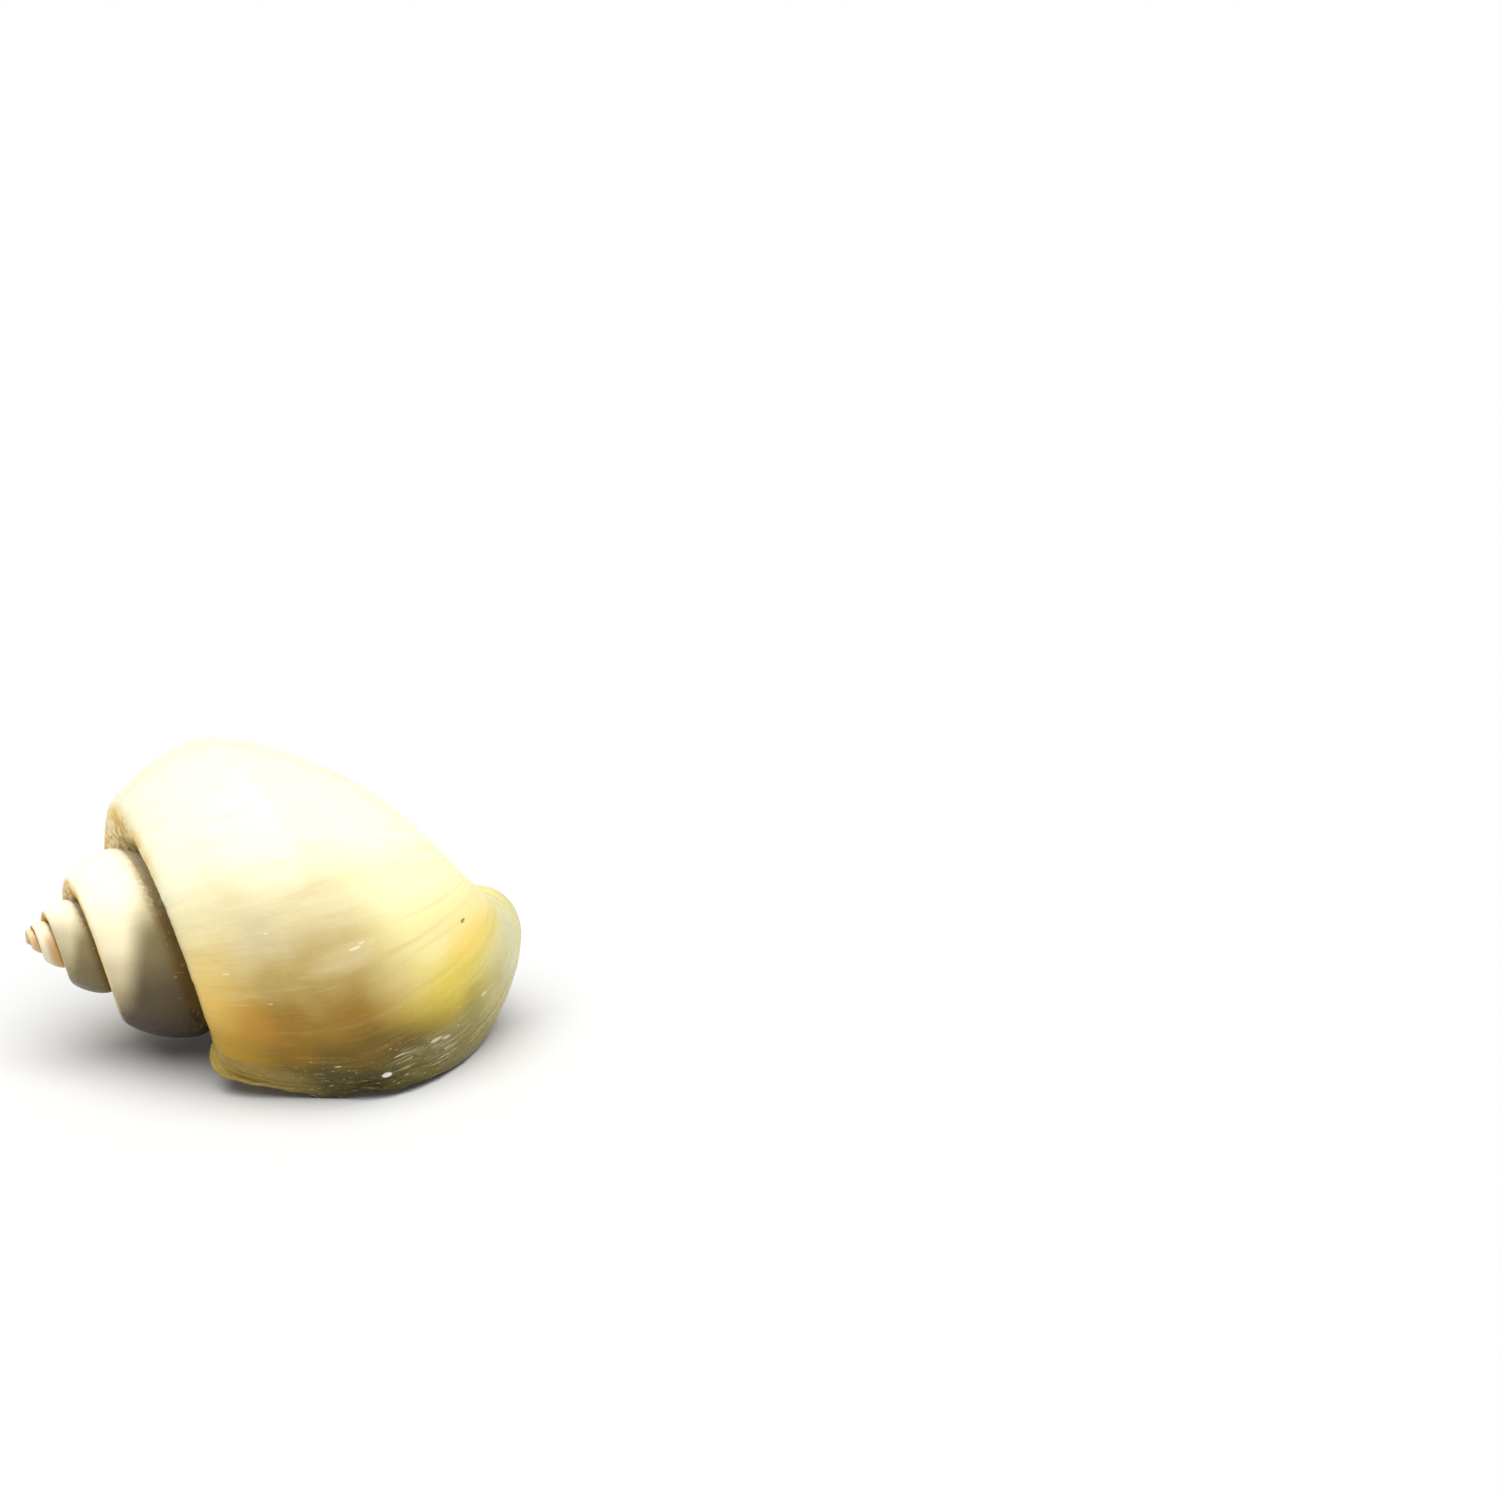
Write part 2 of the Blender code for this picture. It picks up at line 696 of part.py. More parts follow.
def operculum(group):
    """The horny lid carried on the back of the tail: an oval plate, thinnest at its rim."""
    place = under(*OPERCULUM_PLACE)
    bpy.ops.mesh.primitive_uv_sphere_add(segments=24, ring_count=6, radius=MM, location=place)
    plate = bpy.context.object
    plate.name = "operculum"
    plate.scale = OPERCULUM_HALF_SIZES
    plate.rotation_euler = (OPERCULUM_TILT, 0.0, OPERCULUM_TURN)
    return bake(move_to(plate, group))


def build_shell(snail, cutters, floor):
    """The spiral from its worn tip to the two halves of the lip, flat where it meets the floor."""
    apex = shell_apex(snail, cutters)
    upper = whorl("shell_upper_spire", 3.0, 2.0, 20, SPIRE_SIDES - 4, snail, cutters)
    lower = whorl("shell_penultimate_whorl", 2.0, 1.0, 28, SPIRE_SIDES, snail, cutters)
    body = body_whorl(snail, cutters)
    outer = lip_band(
        "shell_outer_lip", OUTER_LIP_FROM, OUTER_LIP_TO, 44,
        LIP_BACK_WALL, LIP_EDGE_WALL, snail, cutters,
    )
    inner = lip_band(
        "shell_inner_lip", OUTER_LIP_TO + LIP_SPLIT_GAP, INNER_LIP_TO, 18,
        INNER_LIP_WALL, INNER_LIP_EDGE_WALL, snail, cutters,
    )
    outer = carve(outer, [body], cutters)
    inner = carve(inner, [body, outer], cutters)
    outer = combine(outer, floor, "DIFFERENCE")
    return [apex, upper, lower, body, outer, inner]


def build_body(snail, cutters, shell):
    """The soft parts from the mantle out to the foot and the snout, and the lid on the tail."""
    lower, body, outer, inner = shell[2:]
    lining = carve(mantle(snail), [lower], cutters)
    rim = carve(mantle_edge(snail), [lower, body, outer], cutters)
    first_split, second_split = FOOT_SPLITS
    tail = foot_length("foot_rear", 0.0, first_split, 7, snail)
    middle = foot_length("foot_middle", first_split + FOOT_SPLIT_GAP, second_split, 7, snail)
    front = foot_length("foot_front", second_split + FOOT_SPLIT_GAP, 1.0, 7, snail)
    lid = carve(operculum(snail), [tail, middle], cutters)
    around = [lining, rim, body, inner, outer, lower, tail, middle, front, lid]
    column = carve(neck(snail), around, cutters)
    face = carve(head(snail), [column, front, middle], cutters)
    mouth = combine(carve(snout(snail), [front], cutters), mouth_slit(cutters), "DIFFERENCE")
    pipe = feeler("siphon", SIPHON, SIPHON_RADII, snail, 7, 3)
    pipe = carve(pipe, [column, middle, lid, face], cutters)
    return [lining, rim, tail, middle, front, column, face, mouth, pipe], lid


def build_feelers(snail, cutters, face, mouth):
    """The eyes on their stalks, the long feelers and the short ones at the mouth."""
    soft = []
    eyes = []
    sides = (
        ("left", EYE_STALK_LEFT, TENTACLE_LEFT, PALP_LEFT),
        ("right", EYE_STALK_RIGHT, TENTACLE_RIGHT, PALP_RIGHT),
    )
    for side, stalk_line, arm_line, palp_line in sides:
        ball = eye("eye_" + side, stalk_line, snail)
        stalk = feeler("eye_stalk_" + side, stalk_line, EYE_STALK_RADII, snail, 4, 2)
        stalk = carve(stalk, [face, ball], cutters)
        base, tip = tentacle("tentacle_" + side, arm_line, snail)
        base = carve(base, [face, mouth, stalk], cutters)
        palp = feeler("palp_" + side, palp_line, PALP_RADII, snail, 6, 2)
        palp = carve(palp, [mouth], cutters)
        eyes.append(ball)
        soft.extend([stalk, base, tip, palp])
    return soft, eyes


def build():
    """The whole snail, piece by piece, each with its own finish."""
    clear_scene()
    snail = collection("apple_snail")
    cutters = collection("cutters")
    floor = floor_block(cutters)
    shell = build_shell(snail, cutters, floor)
    flesh, lid = build_body(snail, cutters, shell)
    face, mouth = flesh[6:8]
    feelers, eyes = build_feelers(snail, cutters, face, mouth)

    for piece in shell:
        shade(piece, material(piece.name, SHELL_COLOUR, 0.25))
    for piece in flesh + feelers:
        shade(piece, material(piece.name, FLESH_COLOUR, 0.45))
    for ball in eyes:
        shade(ball, material(ball.name, EYE_COLOUR, 0.1))
    shade(lid, material("operculum", OPERCULUM_COLOUR, 0.4))


build()
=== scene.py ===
import math

import bmesh
import bpy
import numpy as np
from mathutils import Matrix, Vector


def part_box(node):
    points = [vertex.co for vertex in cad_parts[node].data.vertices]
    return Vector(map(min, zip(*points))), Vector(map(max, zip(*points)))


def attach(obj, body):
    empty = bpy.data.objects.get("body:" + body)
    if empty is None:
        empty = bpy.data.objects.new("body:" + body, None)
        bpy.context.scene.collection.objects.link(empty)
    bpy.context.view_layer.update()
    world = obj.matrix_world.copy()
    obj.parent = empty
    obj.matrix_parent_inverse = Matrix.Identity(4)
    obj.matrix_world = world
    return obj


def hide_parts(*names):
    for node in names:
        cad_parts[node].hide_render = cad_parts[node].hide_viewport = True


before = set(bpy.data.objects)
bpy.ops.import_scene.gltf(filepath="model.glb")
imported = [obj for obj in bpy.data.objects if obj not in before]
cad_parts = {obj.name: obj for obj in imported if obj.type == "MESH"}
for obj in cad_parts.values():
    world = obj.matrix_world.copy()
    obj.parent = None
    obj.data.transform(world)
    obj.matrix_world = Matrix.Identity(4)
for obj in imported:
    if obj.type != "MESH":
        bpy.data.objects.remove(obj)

MM = 0.001
TURN = 2.0 * math.pi

# The spiral of the shell, as in the solids. The growth angle is 0 at the lip and negative before it.
SIZE_GROWTH = math.log(2.087) / TURN
RADIUS_GROWTH = math.log(2.037) / TURN
SECTION_ALONG_AXIS = 29.0 * MM
SECTION_FROM_AXIS = 14.3 * MM
REACH_OUT = 10.65 * MM
REACH_IN = 8.1 * MM
REACH_BASE = 23.3 * MM
REACH_APEX = 12.8 * MM
COLUMELLA_FOLD = 4.6 * MM
SECTION_TILT = math.radians(16.3)
OUTLINE_SOFTNESS = math.radians(3.2)
APEX = np.array((-24.35, -7.11, 11.63)) * MM
AXIS_PITCH = math.radians(8.58)
AXIS_YAW = math.radians(16.05)
LIP_ROLL = math.radians(160.2)
APEX_LEAN = np.array((-0.43, 0.49, 1.86)) * MM
APEX_LEAN_SPAN = 3.6 * MM
SPIRE_START = 9.5
WALL = 1.0 * MM

# Detail of the render's shell.
SHELL_SIDES = 288
FIRST_TURN = 5.1
INNER_DEPTH = 2.2

CAMERA_FROM_APEX = np.array((72.53, -408.95, 150.73)) * MM
CAMERA_TILT = math.radians(17.528)
CAMERA_LENS = 104.487

SKY_LIGHT = 0.32
HORIZON_LIGHT = 1.05


def hump(side, place, span):
    """1 at the place round the section and 0 a few spans away. Both angles are in radians."""
    away = (side - place + math.pi) % TURN - math.pi
    return np.exp(-((away / span) ** 2))


def smoothstep(low, high, value):
    part = np.clip((value - low) / (high - low), 0.0, 1.0)
    return part * part * (3.0 - 2.0 * part)


def sharp_outline(side):
    """The last section from its centre, in the section's own directions: out and along."""
    outward = np.cos(side)
    baseward = np.sin(side)
    out = outward > 0.0
    base = baseward > 0.0
    reach_axial = np.where(base, REACH_BASE, REACH_APEX)
    reach_radial = np.where(out, REACH_OUT, REACH_IN)
    square = np.where(out, np.where(base, 1.79, 1.375), np.where(base, 2.73, 2.0))
    fold = np.where(out, 0.0, COLUMELLA_FOLD * hump(side, math.radians(158.0), math.radians(34.0)))
    total = np.abs(outward / reach_radial) ** square + np.abs(baseward / reach_axial) ** square
    size = total ** (-1.0 / square)
    return (size + fold) * outward, size * baseward


def softened(values, softness):
    """The values round a circle, blurred by a bell curve of that width in radians."""
    waves = np.fft.rfft(values)
    order = np.arange(len(waves))
    return np.fft.irfft(waves * np.exp(-0.5 * (order * softness) ** 2), len(values))


TABLE_SIDE = np.linspace(0.0, TURN, 2048, endpoint=False)
TABLE_OUT, TABLE_ALONG = [softened(values, OUTLINE_SOFTNESS) for values in sharp_outline(TABLE_SIDE)]


def section_offset(side):
    """The last section's outline from its centre: along the shell's axis and away from it."""
    radial = np.interp(side, TABLE_SIDE, TABLE_OUT, period=TURN)
    axial = np.interp(side, TABLE_SIDE, TABLE_ALONG, period=TURN)
    tilt_cos = math.cos(SECTION_TILT)
    tilt_sin = math.sin(SECTION_TILT)
    return axial * tilt_cos + radial * tilt_sin, radial * tilt_cos - axial * tilt_sin


def near_lip(angle, span):
    return np.exp(np.minimum(angle, 0.0) / span)


def lip_lead(side, angle):
    """How far growth at this side runs ahead of the section's own angle, near the lip."""
    fade = np.clip(1.0 + angle / 1.2, 0.0, 1.0) ** 2
    slant = 0.495 * np.sin(side) - 0.52 * np.cos(side)
    slant -= 0.19 * np.sin(2.0 * side) + 0.004 * np.cos(2.0 * side)
    tooth = 0.046 * hump(side, math.radians(320.0), math.radians(8.5))
    notch = 0.04 * hump(side, math.radians(343.0), math.radians(10.0))
    notch += 0.045 * hump(side, math.radians(278.0), math.radians(17.0))
    chips = 0.004 * np.sin(23.0 * side + 1.0) + 0.003 * np.sin(41.0 * side)
    return fade * slant + near_lip(angle, 0.05) * (tooth - notch + chips)


def shell_axes():
    axis = np.array((
        math.cos(AXIS_PITCH) * math.cos(AXIS_YAW),
        math.cos(AXIS_PITCH) * math.sin(AXIS_YAW),
        math.sin(AXIS_PITCH),
    ))
    up = np.array((0.0, 0.0, 1.0))
    up = up - axis * up.dot(axis)
    up /= np.linalg.norm(up)
    return axis, up, np.cross(axis, up)


def shell_point(angle, side, grow):
    """Points of the spiral tube, moved out from the section's centre by grow."""
    angle, side, grow = np.broadcast_arrays(angle, side, grow)
    scale = np.exp(SIZE_GROWTH * angle)
    axial, radial = section_offset(side)
    flare = 1.6 * MM * near_lip(angle, 0.22) * hump(side, math.radians(262.0), math.radians(24.0))
    late = near_lip(angle, 0.75)
    narrow = 1.0 - 0.1 * late * np.maximum(np.sin(side - 0.2), 0.0) ** 2
    axial = axial * narrow + 0.94 * MM / scale * late * np.maximum(np.sin(side), 0.0) ** 2
    radial = radial * narrow
    away = np.hypot(axial, radial)
    moved = 1.0 + (grow + flare) / scale / away
    along = scale * (SECTION_ALONG_AXIS + axial * moved)
    out = np.exp(RADIUS_GROWTH * angle) * SECTION_FROM_AXIS + scale * radial * moved
    out = np.maximum(out, 0.02 * MM)
    turn = LIP_ROLL + angle + lip_lead(side, angle)
    axis, up, across = shell_axes()
    point = APEX + axis * along[..., None]
    point = point + out[..., None] * (up * np.cos(turn)[..., None] + across * np.sin(turn)[..., None])
    return point + APEX_LEAN * np.exp(-along / APEX_LEAN_SPAN)[..., None], along, out


def seam_distance(angle, along, out, turns):
    """How far points lie from the whorl that many turns later, in millimetres at the lip's scale."""
    other = angle + turns * TURN
    scale = np.exp(SIZE_GROWTH * other)
    axial = (along / scale - SECTION_ALONG_AXIS)
    radial = (out - np.exp(RADIUS_GROWTH * other) * SECTION_FROM_AXIS) / scale
    tilt_cos = math.cos(SECTION_TILT)
    tilt_sin = math.sin(SECTION_TILT)
    own_along = axial * tilt_cos - radial * tilt_sin
    own_out = axial * tilt_sin + radial * tilt_cos
    side = np.arctan2(own_along, own_out)
    edge = np.hypot(
        np.interp(side, TABLE_SIDE, TABLE_OUT, period=TURN),
        np.interp(side, TABLE_SIDE, TABLE_ALONG, period=TURN),
    )
    return (np.hypot(own_along, own_out) - edge) * math.exp(SIZE_GROWTH * turns * TURN) / MM


def wander(values, seed, step):
    """Smooth random heights from -1 to 1 along a line, with a new one at each step."""
    dice = np.random.default_rng(seed)
    heights = dice.uniform(-1.0, 1.0, 4096)
    place = values / step + 2048.0
    index = np.floor(place).astype(int) % 4095
    part = place - np.floor(place)
    part = part * part * (3.0 - 2.0 * part)
    return heights[index] * (1.0 - part) + heights[index + 1] * part


def growth_relief(angle, side):
    """The height of the growth lines, in metres."""
    drift = 0.012 * np.sin(3.0 * side + 2.0 * angle) + 0.006 * np.sin(7.0 * side - angle)
    line = angle + drift
    size = np.exp(SIZE_GROWTH * angle)
    fine = wander(line, 1, 0.016) * 0.016 + wander(line, 2, 0.041) * 0.03
    broad = wander(line, 3, 0.13) * 0.05 + wander(line, 4, 0.42) * 0.08
    late = smoothstep(-0.34, -0.16, angle)
    strong = wander(line, 5, 0.022) * 0.05 * late
    band = -0.11 * np.exp(-(((line + 0.235) / 0.018) ** 2)) - 0.05 * np.exp(-(((line + 0.12) / 0.012) ** 2))
    soft = 0.07 * np.sin(2.0 * side + 1.7 * angle) * np.sin(1.3 * angle + 0.6)
    return (size * (fine + broad + soft) + strong + band * np.abs(np.sin(1.5 * side + 0.4)) ** 0.3) * MM


def new_object(name, points, faces):
    mesh = bpy.data.meshes.new(name)
    mesh.from_pydata(points.reshape(-1, 3).tolist(), [], faces)
    mesh.update()
    thing = bpy.data.objects.new(name, mesh)
    bpy.context.scene.collection.objects.link(thing)
    return thing


def grid_faces(rows, sides, first=0):
    """Quads over rings of points, closed round each ring."""
    row = np.arange(rows - 1)[:, None] * sides + first
    side = np.arange(sides)[None, :]
    after = (side + 1) % sides
    quads = np.stack([row + side, row + after, row + sides + after, row + sides + side], axis=-1)
    return quads.reshape(-1, 4)


def add_attribute(mesh, name, kind, values):
    layer = mesh.attributes.new(name, kind, "POINT")
    key = "value" if kind == "FLOAT" else "vector"
    layer.data.foreach_set(key, np.ascontiguousarray(values, dtype=np.float32).ravel())


def make_shell():
    """The whole shell as one surface: outside from the tip to the lip, then inside from the lip."""
    even = TURN * np.arange(SHELL_SIDES) / SHELL_SIDES
    side = even + 0.25 * np.sin(2.0 * even)
    early = np.linspace(-FIRST_TURN * TURN, -1.3 * TURN, 430, endpoint=False)
    late = np.linspace(-1.3 * TURN, -0.36, 330, endpoint=False)
    last = np.linspace(-0.36, 0.0, 110)
    outer_angle = np.concatenate([early, late, last])[:, None]
    outer_grow = growth_relief(outer_angle, side[None, :])
    seam_shape = np.ones_like(outer_grow)
    rim_wall = (0.42 + 0.5 * hump(side, math.radians(165.0), math.radians(50.0))) * MM
    bend = np.linspace(0.0, math.pi, 9)[1:][:, None]
    rim_angle = np.sin(bend) * 0.008 + 0.0 * side[None, :]
    rim_grow = outer_grow[-1][None, :] - 0.5 * rim_wall[None, :] * (1.0 - np.cos(bend))
    inner_angle = -np.linspace(0.0, 1.0, 60)[1:][:, None] ** 1.5 * INNER_DEPTH + 0.0 * side[None, :]
    thick = smoothstep(0.0, 0.5, -inner_angle)
    inner_wall = (rim_wall[None, :] * (1.0 - thick) + WALL * thick)
    inner_grow = -inner_wall
    angle = np.concatenate([outer_angle + 0.0 * side[None, :], rim_angle, inner_angle])
    grow = np.concatenate([outer_grow * seam_shape, rim_grow, inner_grow])
    sides = np.broadcast_to(side[None, :], angle.shape)
    points, along, out = shell_point(angle, sides, grow)
    points[..., 2] = np.maximum(points[..., 2], 0.0)
    rows = len(angle)
    tip = points[0].mean(axis=0)
    deep = points[-1].mean(axis=0)
    every = np.concatenate([points.reshape(-1, 3), tip[None], deep[None]])
    faces = grid_faces(rows, SHELL_SIDES).tolist()
    count = rows * SHELL_SIDES
    for index in range(SHELL_SIDES):
        after = (index + 1) % SHELL_SIDES
        faces.append((after, index, count))
        faces.append((count - SHELL_SIDES + index, count - SHELL_SIDES + after, count + 1))
    shell = new_object("snail_shell", every, faces)
    mesh = shell.data
    mesh.flip_normals()
    mesh.shade_smooth()
    before = seam_distance(angle, along, out, -1.0)
    following = seam_distance(angle, along, out, 1.0)
    before = np.where(angle < -FIRST_TURN * TURN + 1.0 * TURN, 9.0, before)
    following = np.where(angle > -TURN - 0.2, 9.0, following)
    rim_rows = len(outer_angle) + len(rim_angle)
    inside = np.zeros_like(angle)
    inside[rim_rows:] = smoothstep(0.03, 0.10, -inner_angle)
    ends = np.zeros(2)
    coil = np.stack([angle, np.cos(sides), np.sin(sides)], axis=-1).reshape(-1, 3)
    coil = np.concatenate([coil, coil[:1], coil[-1:]])
    add_attribute(mesh, "coil", "FLOAT_VECTOR", coil)
    for name, values in (("before", before), ("following", following), ("inside", inside)):
        add_attribute(mesh, name, "FLOAT", np.concatenate([values.ravel(), ends]))
    return shell


class Nodes:
    """Short calls that add shader nodes to one material."""

    def __init__(self, name):
        self.material = bpy.data.materials.new(name)
        self.material.use_nodes = True
        self.tree = self.material.node_tree
        self.shader = self.tree.nodes["Principled BSDF"]

    def put(self, kind, inputs=(), **settings):
        node = self.tree.nodes.new(kind)
        for key, value in settings.items():
            setattr(node, key, value)
        for key, value in dict(inputs).items():
            self.feed(node.inputs[key], value)
        return node

    def feed(self, socket, value):
        if isinstance(value, bpy.types.NodeSocket):
            self.tree.links.new(value, socket)
        else:
            socket.default_value = value

    def attribute(self, name):
        return self.put("ShaderNodeAttribute", attribute_name=name)

    def math(self, operation, first, second=0.0):
        return self.put("ShaderNodeMath", {0: first, 1: second}, operation=operation).outputs[0]

    def scale(self, vector, factors):
        return self.put("ShaderNodeVectorMath", {0: vector, 1: factors}, operation="MULTIPLY").outputs[0]

    def noise(self, vector, scale, detail=4.0, rough=0.5):
        node = self.put("ShaderNodeTexNoise", {"Vector": vector, "Scale": scale, "Detail": detail, "Roughness": rough})
        return node.outputs["Fac"]

    def ramp(self, value, low, high, to_low=0.0, to_high=1.0):
        node = self.put("ShaderNodeMapRange", {0: value, 1: low, 2: high, 3: to_low, 4: to_high})
        node.interpolation_type = "SMOOTHSTEP"
        return node.outputs[0]

    def mix(self, factor, first, second, blend="MIX"):
        node = self.put("ShaderNodeMix", data_type="RGBA", blend_type=blend)
        self.feed(node.inputs[0], factor)
        self.feed(node.inputs[6], first)
        self.feed(node.inputs[7], second)
        return node.outputs[2]

    def bump(self, height, strength, distance, normal=None):
        inputs = {"Height": height, "Strength": strength, "Distance": distance}
        if normal is not None:
            inputs["Normal"] = normal
        return self.put("ShaderNodeBump", inputs).outputs[0]

    def spot(self, coil, angle, side, reach_angle, reach_side, low=0.6, high=1.0):
        """1 round one place of the shell, by growth angle and side in degrees, and 0 past its reach."""
        side = math.radians(side)
        centre = (angle, math.cos(side), math.sin(side))
        away = self.put("ShaderNodeVectorMath", {0: coil, 1: centre}, operation="SUBTRACT").outputs[0]
        away = self.scale(away, (1.0 / reach_angle, 1.0 / reach_side, 1.0 / reach_side))
        length = self.put("ShaderNodeVectorMath", {0: away}, operation="LENGTH").outputs["Value"]
        return self.ramp(length, low, high, 1.0, 0.0)

    def times(self, *values):
        product = values[0]
        for value in values[1:]:
            product = self.math("MULTIPLY", product, value)
        return product

    def facing(self, coil, side):
        """The cosine of how far the surface lies from this side, in degrees, round the section."""
        side = math.radians(side)
        way = (0.0, math.cos(side), math.sin(side))
        return self.put("ShaderNodeVectorMath", {0: coil, 1: way}, operation="DOT_PRODUCT").outputs["Value"]

    def towards(self, coil, side, low, high):
        """1 on the part of the shell that faces this side, in degrees, and 0 away from it."""
        return self.ramp(self.facing(coil, side), low, high)

    def colours(self, value, stops):
        """A colour read off a row of stops, each a value and a colour, in rising order."""
        first = stops[0][0]
        span = stops[-1][0] - first
        place = self.put("ShaderNodeMapRange", {0: value, 1: first, 2: stops[-1][0], 3: 0.0, 4: 1.0}).outputs[0]
        node = self.put("ShaderNodeValToRGB", {0: place})
        bar = node.color_ramp
        bar.interpolation = "EASE"
        while len(bar.elements) < len(stops):
            bar.elements.new(0.5)
        for element, (stop, colour) in zip(bar.elements, stops):
            element.position = (stop - first) / span
            element.color = rgb(*colour)
        return node.outputs["Color"]


def rgb(red, green, blue):
    return (red, green, blue, 1.0)


# Body whorl colours by growth angle: the first table is the lit upper side, the second the lower side, darker towards
# the lip as painted shade over real khaki staining.
LIGHT_SIDE = (
    (-3.6, (0.92, 0.86, 0.62)),
    (-2.6, (0.92, 0.89, 0.68)),
    (-1.9, (0.93, 0.91, 0.66)),
    (-1.5, (0.94, 0.90, 0.52)),
    (-1.1, (0.92, 0.80, 0.36)),
    (-0.75, (0.77, 0.61, 0.09)),
    (-0.5, (0.60, 0.45, 0.035)),
    (0.0, (0.56, 0.51, 0.20)),
)
STAINED_AND_SHADED_SIDE = (
    (-3.6, (0.90, 0.82, 0.56)),
    (-2.6, (0.91, 0.87, 0.64)),
    (-1.9, (0.88, 0.84, 0.60)),
    (-1.5, (0.69, 0.59, 0.33)),
    (-1.15, (0.46, 0.33, 0.10)),
    (-0.9, (0.30, 0.165, 0.012)),
    (-0.65, (0.15, 0.088, 0.002)),
    (-0.42, (0.095, 0.062, 0.002)),
    (0.0, (0.07, 0.052, 0.010)),
)
SEAM_SIDE = (
    (-2.2, (0.88, 0.82, 0.56)),
    (-1.6, (0.82, 0.71, 0.38)),
    (-1.3, (0.81, 0.63, 0.24)),
    (-1.0, (0.80, 0.52, 0.11)),
    (-0.6, (0.52, 0.30, 0.006)),
    (0.0, (0.38, 0.26, 0.05)),
)
# The olive band of new growth, by how far it faces side 346: darker where it faces down, as painted shade.
NEW_GROWTH_AND_SHADE = (
    (-0.1, (0.66, 0.60, 0.24)),
    (0.12, (0.48, 0.41, 0.08)),
    (0.36, (0.24, 0.185, 0.022)),
    (0.56, (0.19, 0.15, 0.034)),
    (0.72, (0.16, 0.13, 0.033)),
    (0.86, (0.15, 0.12, 0.022)),
    (0.945, (0.073, 0.058, 0.010)),
    (1.0, (0.055, 0.044, 0.008)),
)
# Spire colours by the phase of each turn. Both tables darken the lower part of each whorl as painted shade; the second
# is the darker, shaded side.
SPIRE_SIDE = (
    (-9.5, (0.93, 0.91, 0.78)),
    (-8.4, (0.93, 0.88, 0.64)),
    (-7.75, (0.85, 0.76, 0.50)),
    (-7.35, (0.64, 0.54, 0.33)),
    (-7.0, (0.42, 0.34, 0.18)),
    (-6.65, (0.20, 0.16, 0.07)),
    (-6.35, (0.075, 0.06, 0.02)),
    (-5.2, (0.30, 0.25, 0.14)),
    (-3.3, (0.93, 0.91, 0.78)),
)
SPIRE_SHADE = (
    (-9.5, (0.90, 0.82, 0.50)),
    (-8.3, (0.60, 0.51, 0.28)),
    (-7.7, (0.21, 0.165, 0.078)),
    (-7.1, (0.092, 0.068, 0.028)),
    (-6.5, (0.042, 0.025, 0.008)),
    (-3.3, (0.30, 0.25, 0.14)),
)
SCRATCHES = (
    (-1.248, 16.0, 0.008, 0.09),
    (-1.262, 21.0, 0.005, 0.05),
    (-1.417, 325.0, 0.004, 0.035),
    (-1.231, 291.0, 0.005, 0.05),
    (-1.05, 312.0, 0.004, 0.035),
    (-0.44, 36.0, 0.022, 0.07),
    (-0.41, 41.0, 0.014, 0.05),
    (-0.52, 338.0, 0.008, 0.045),
    (-0.47, 14.0, 0.009, 0.08),
    (-0.50, 64.0, 0.018, 0.025),
)


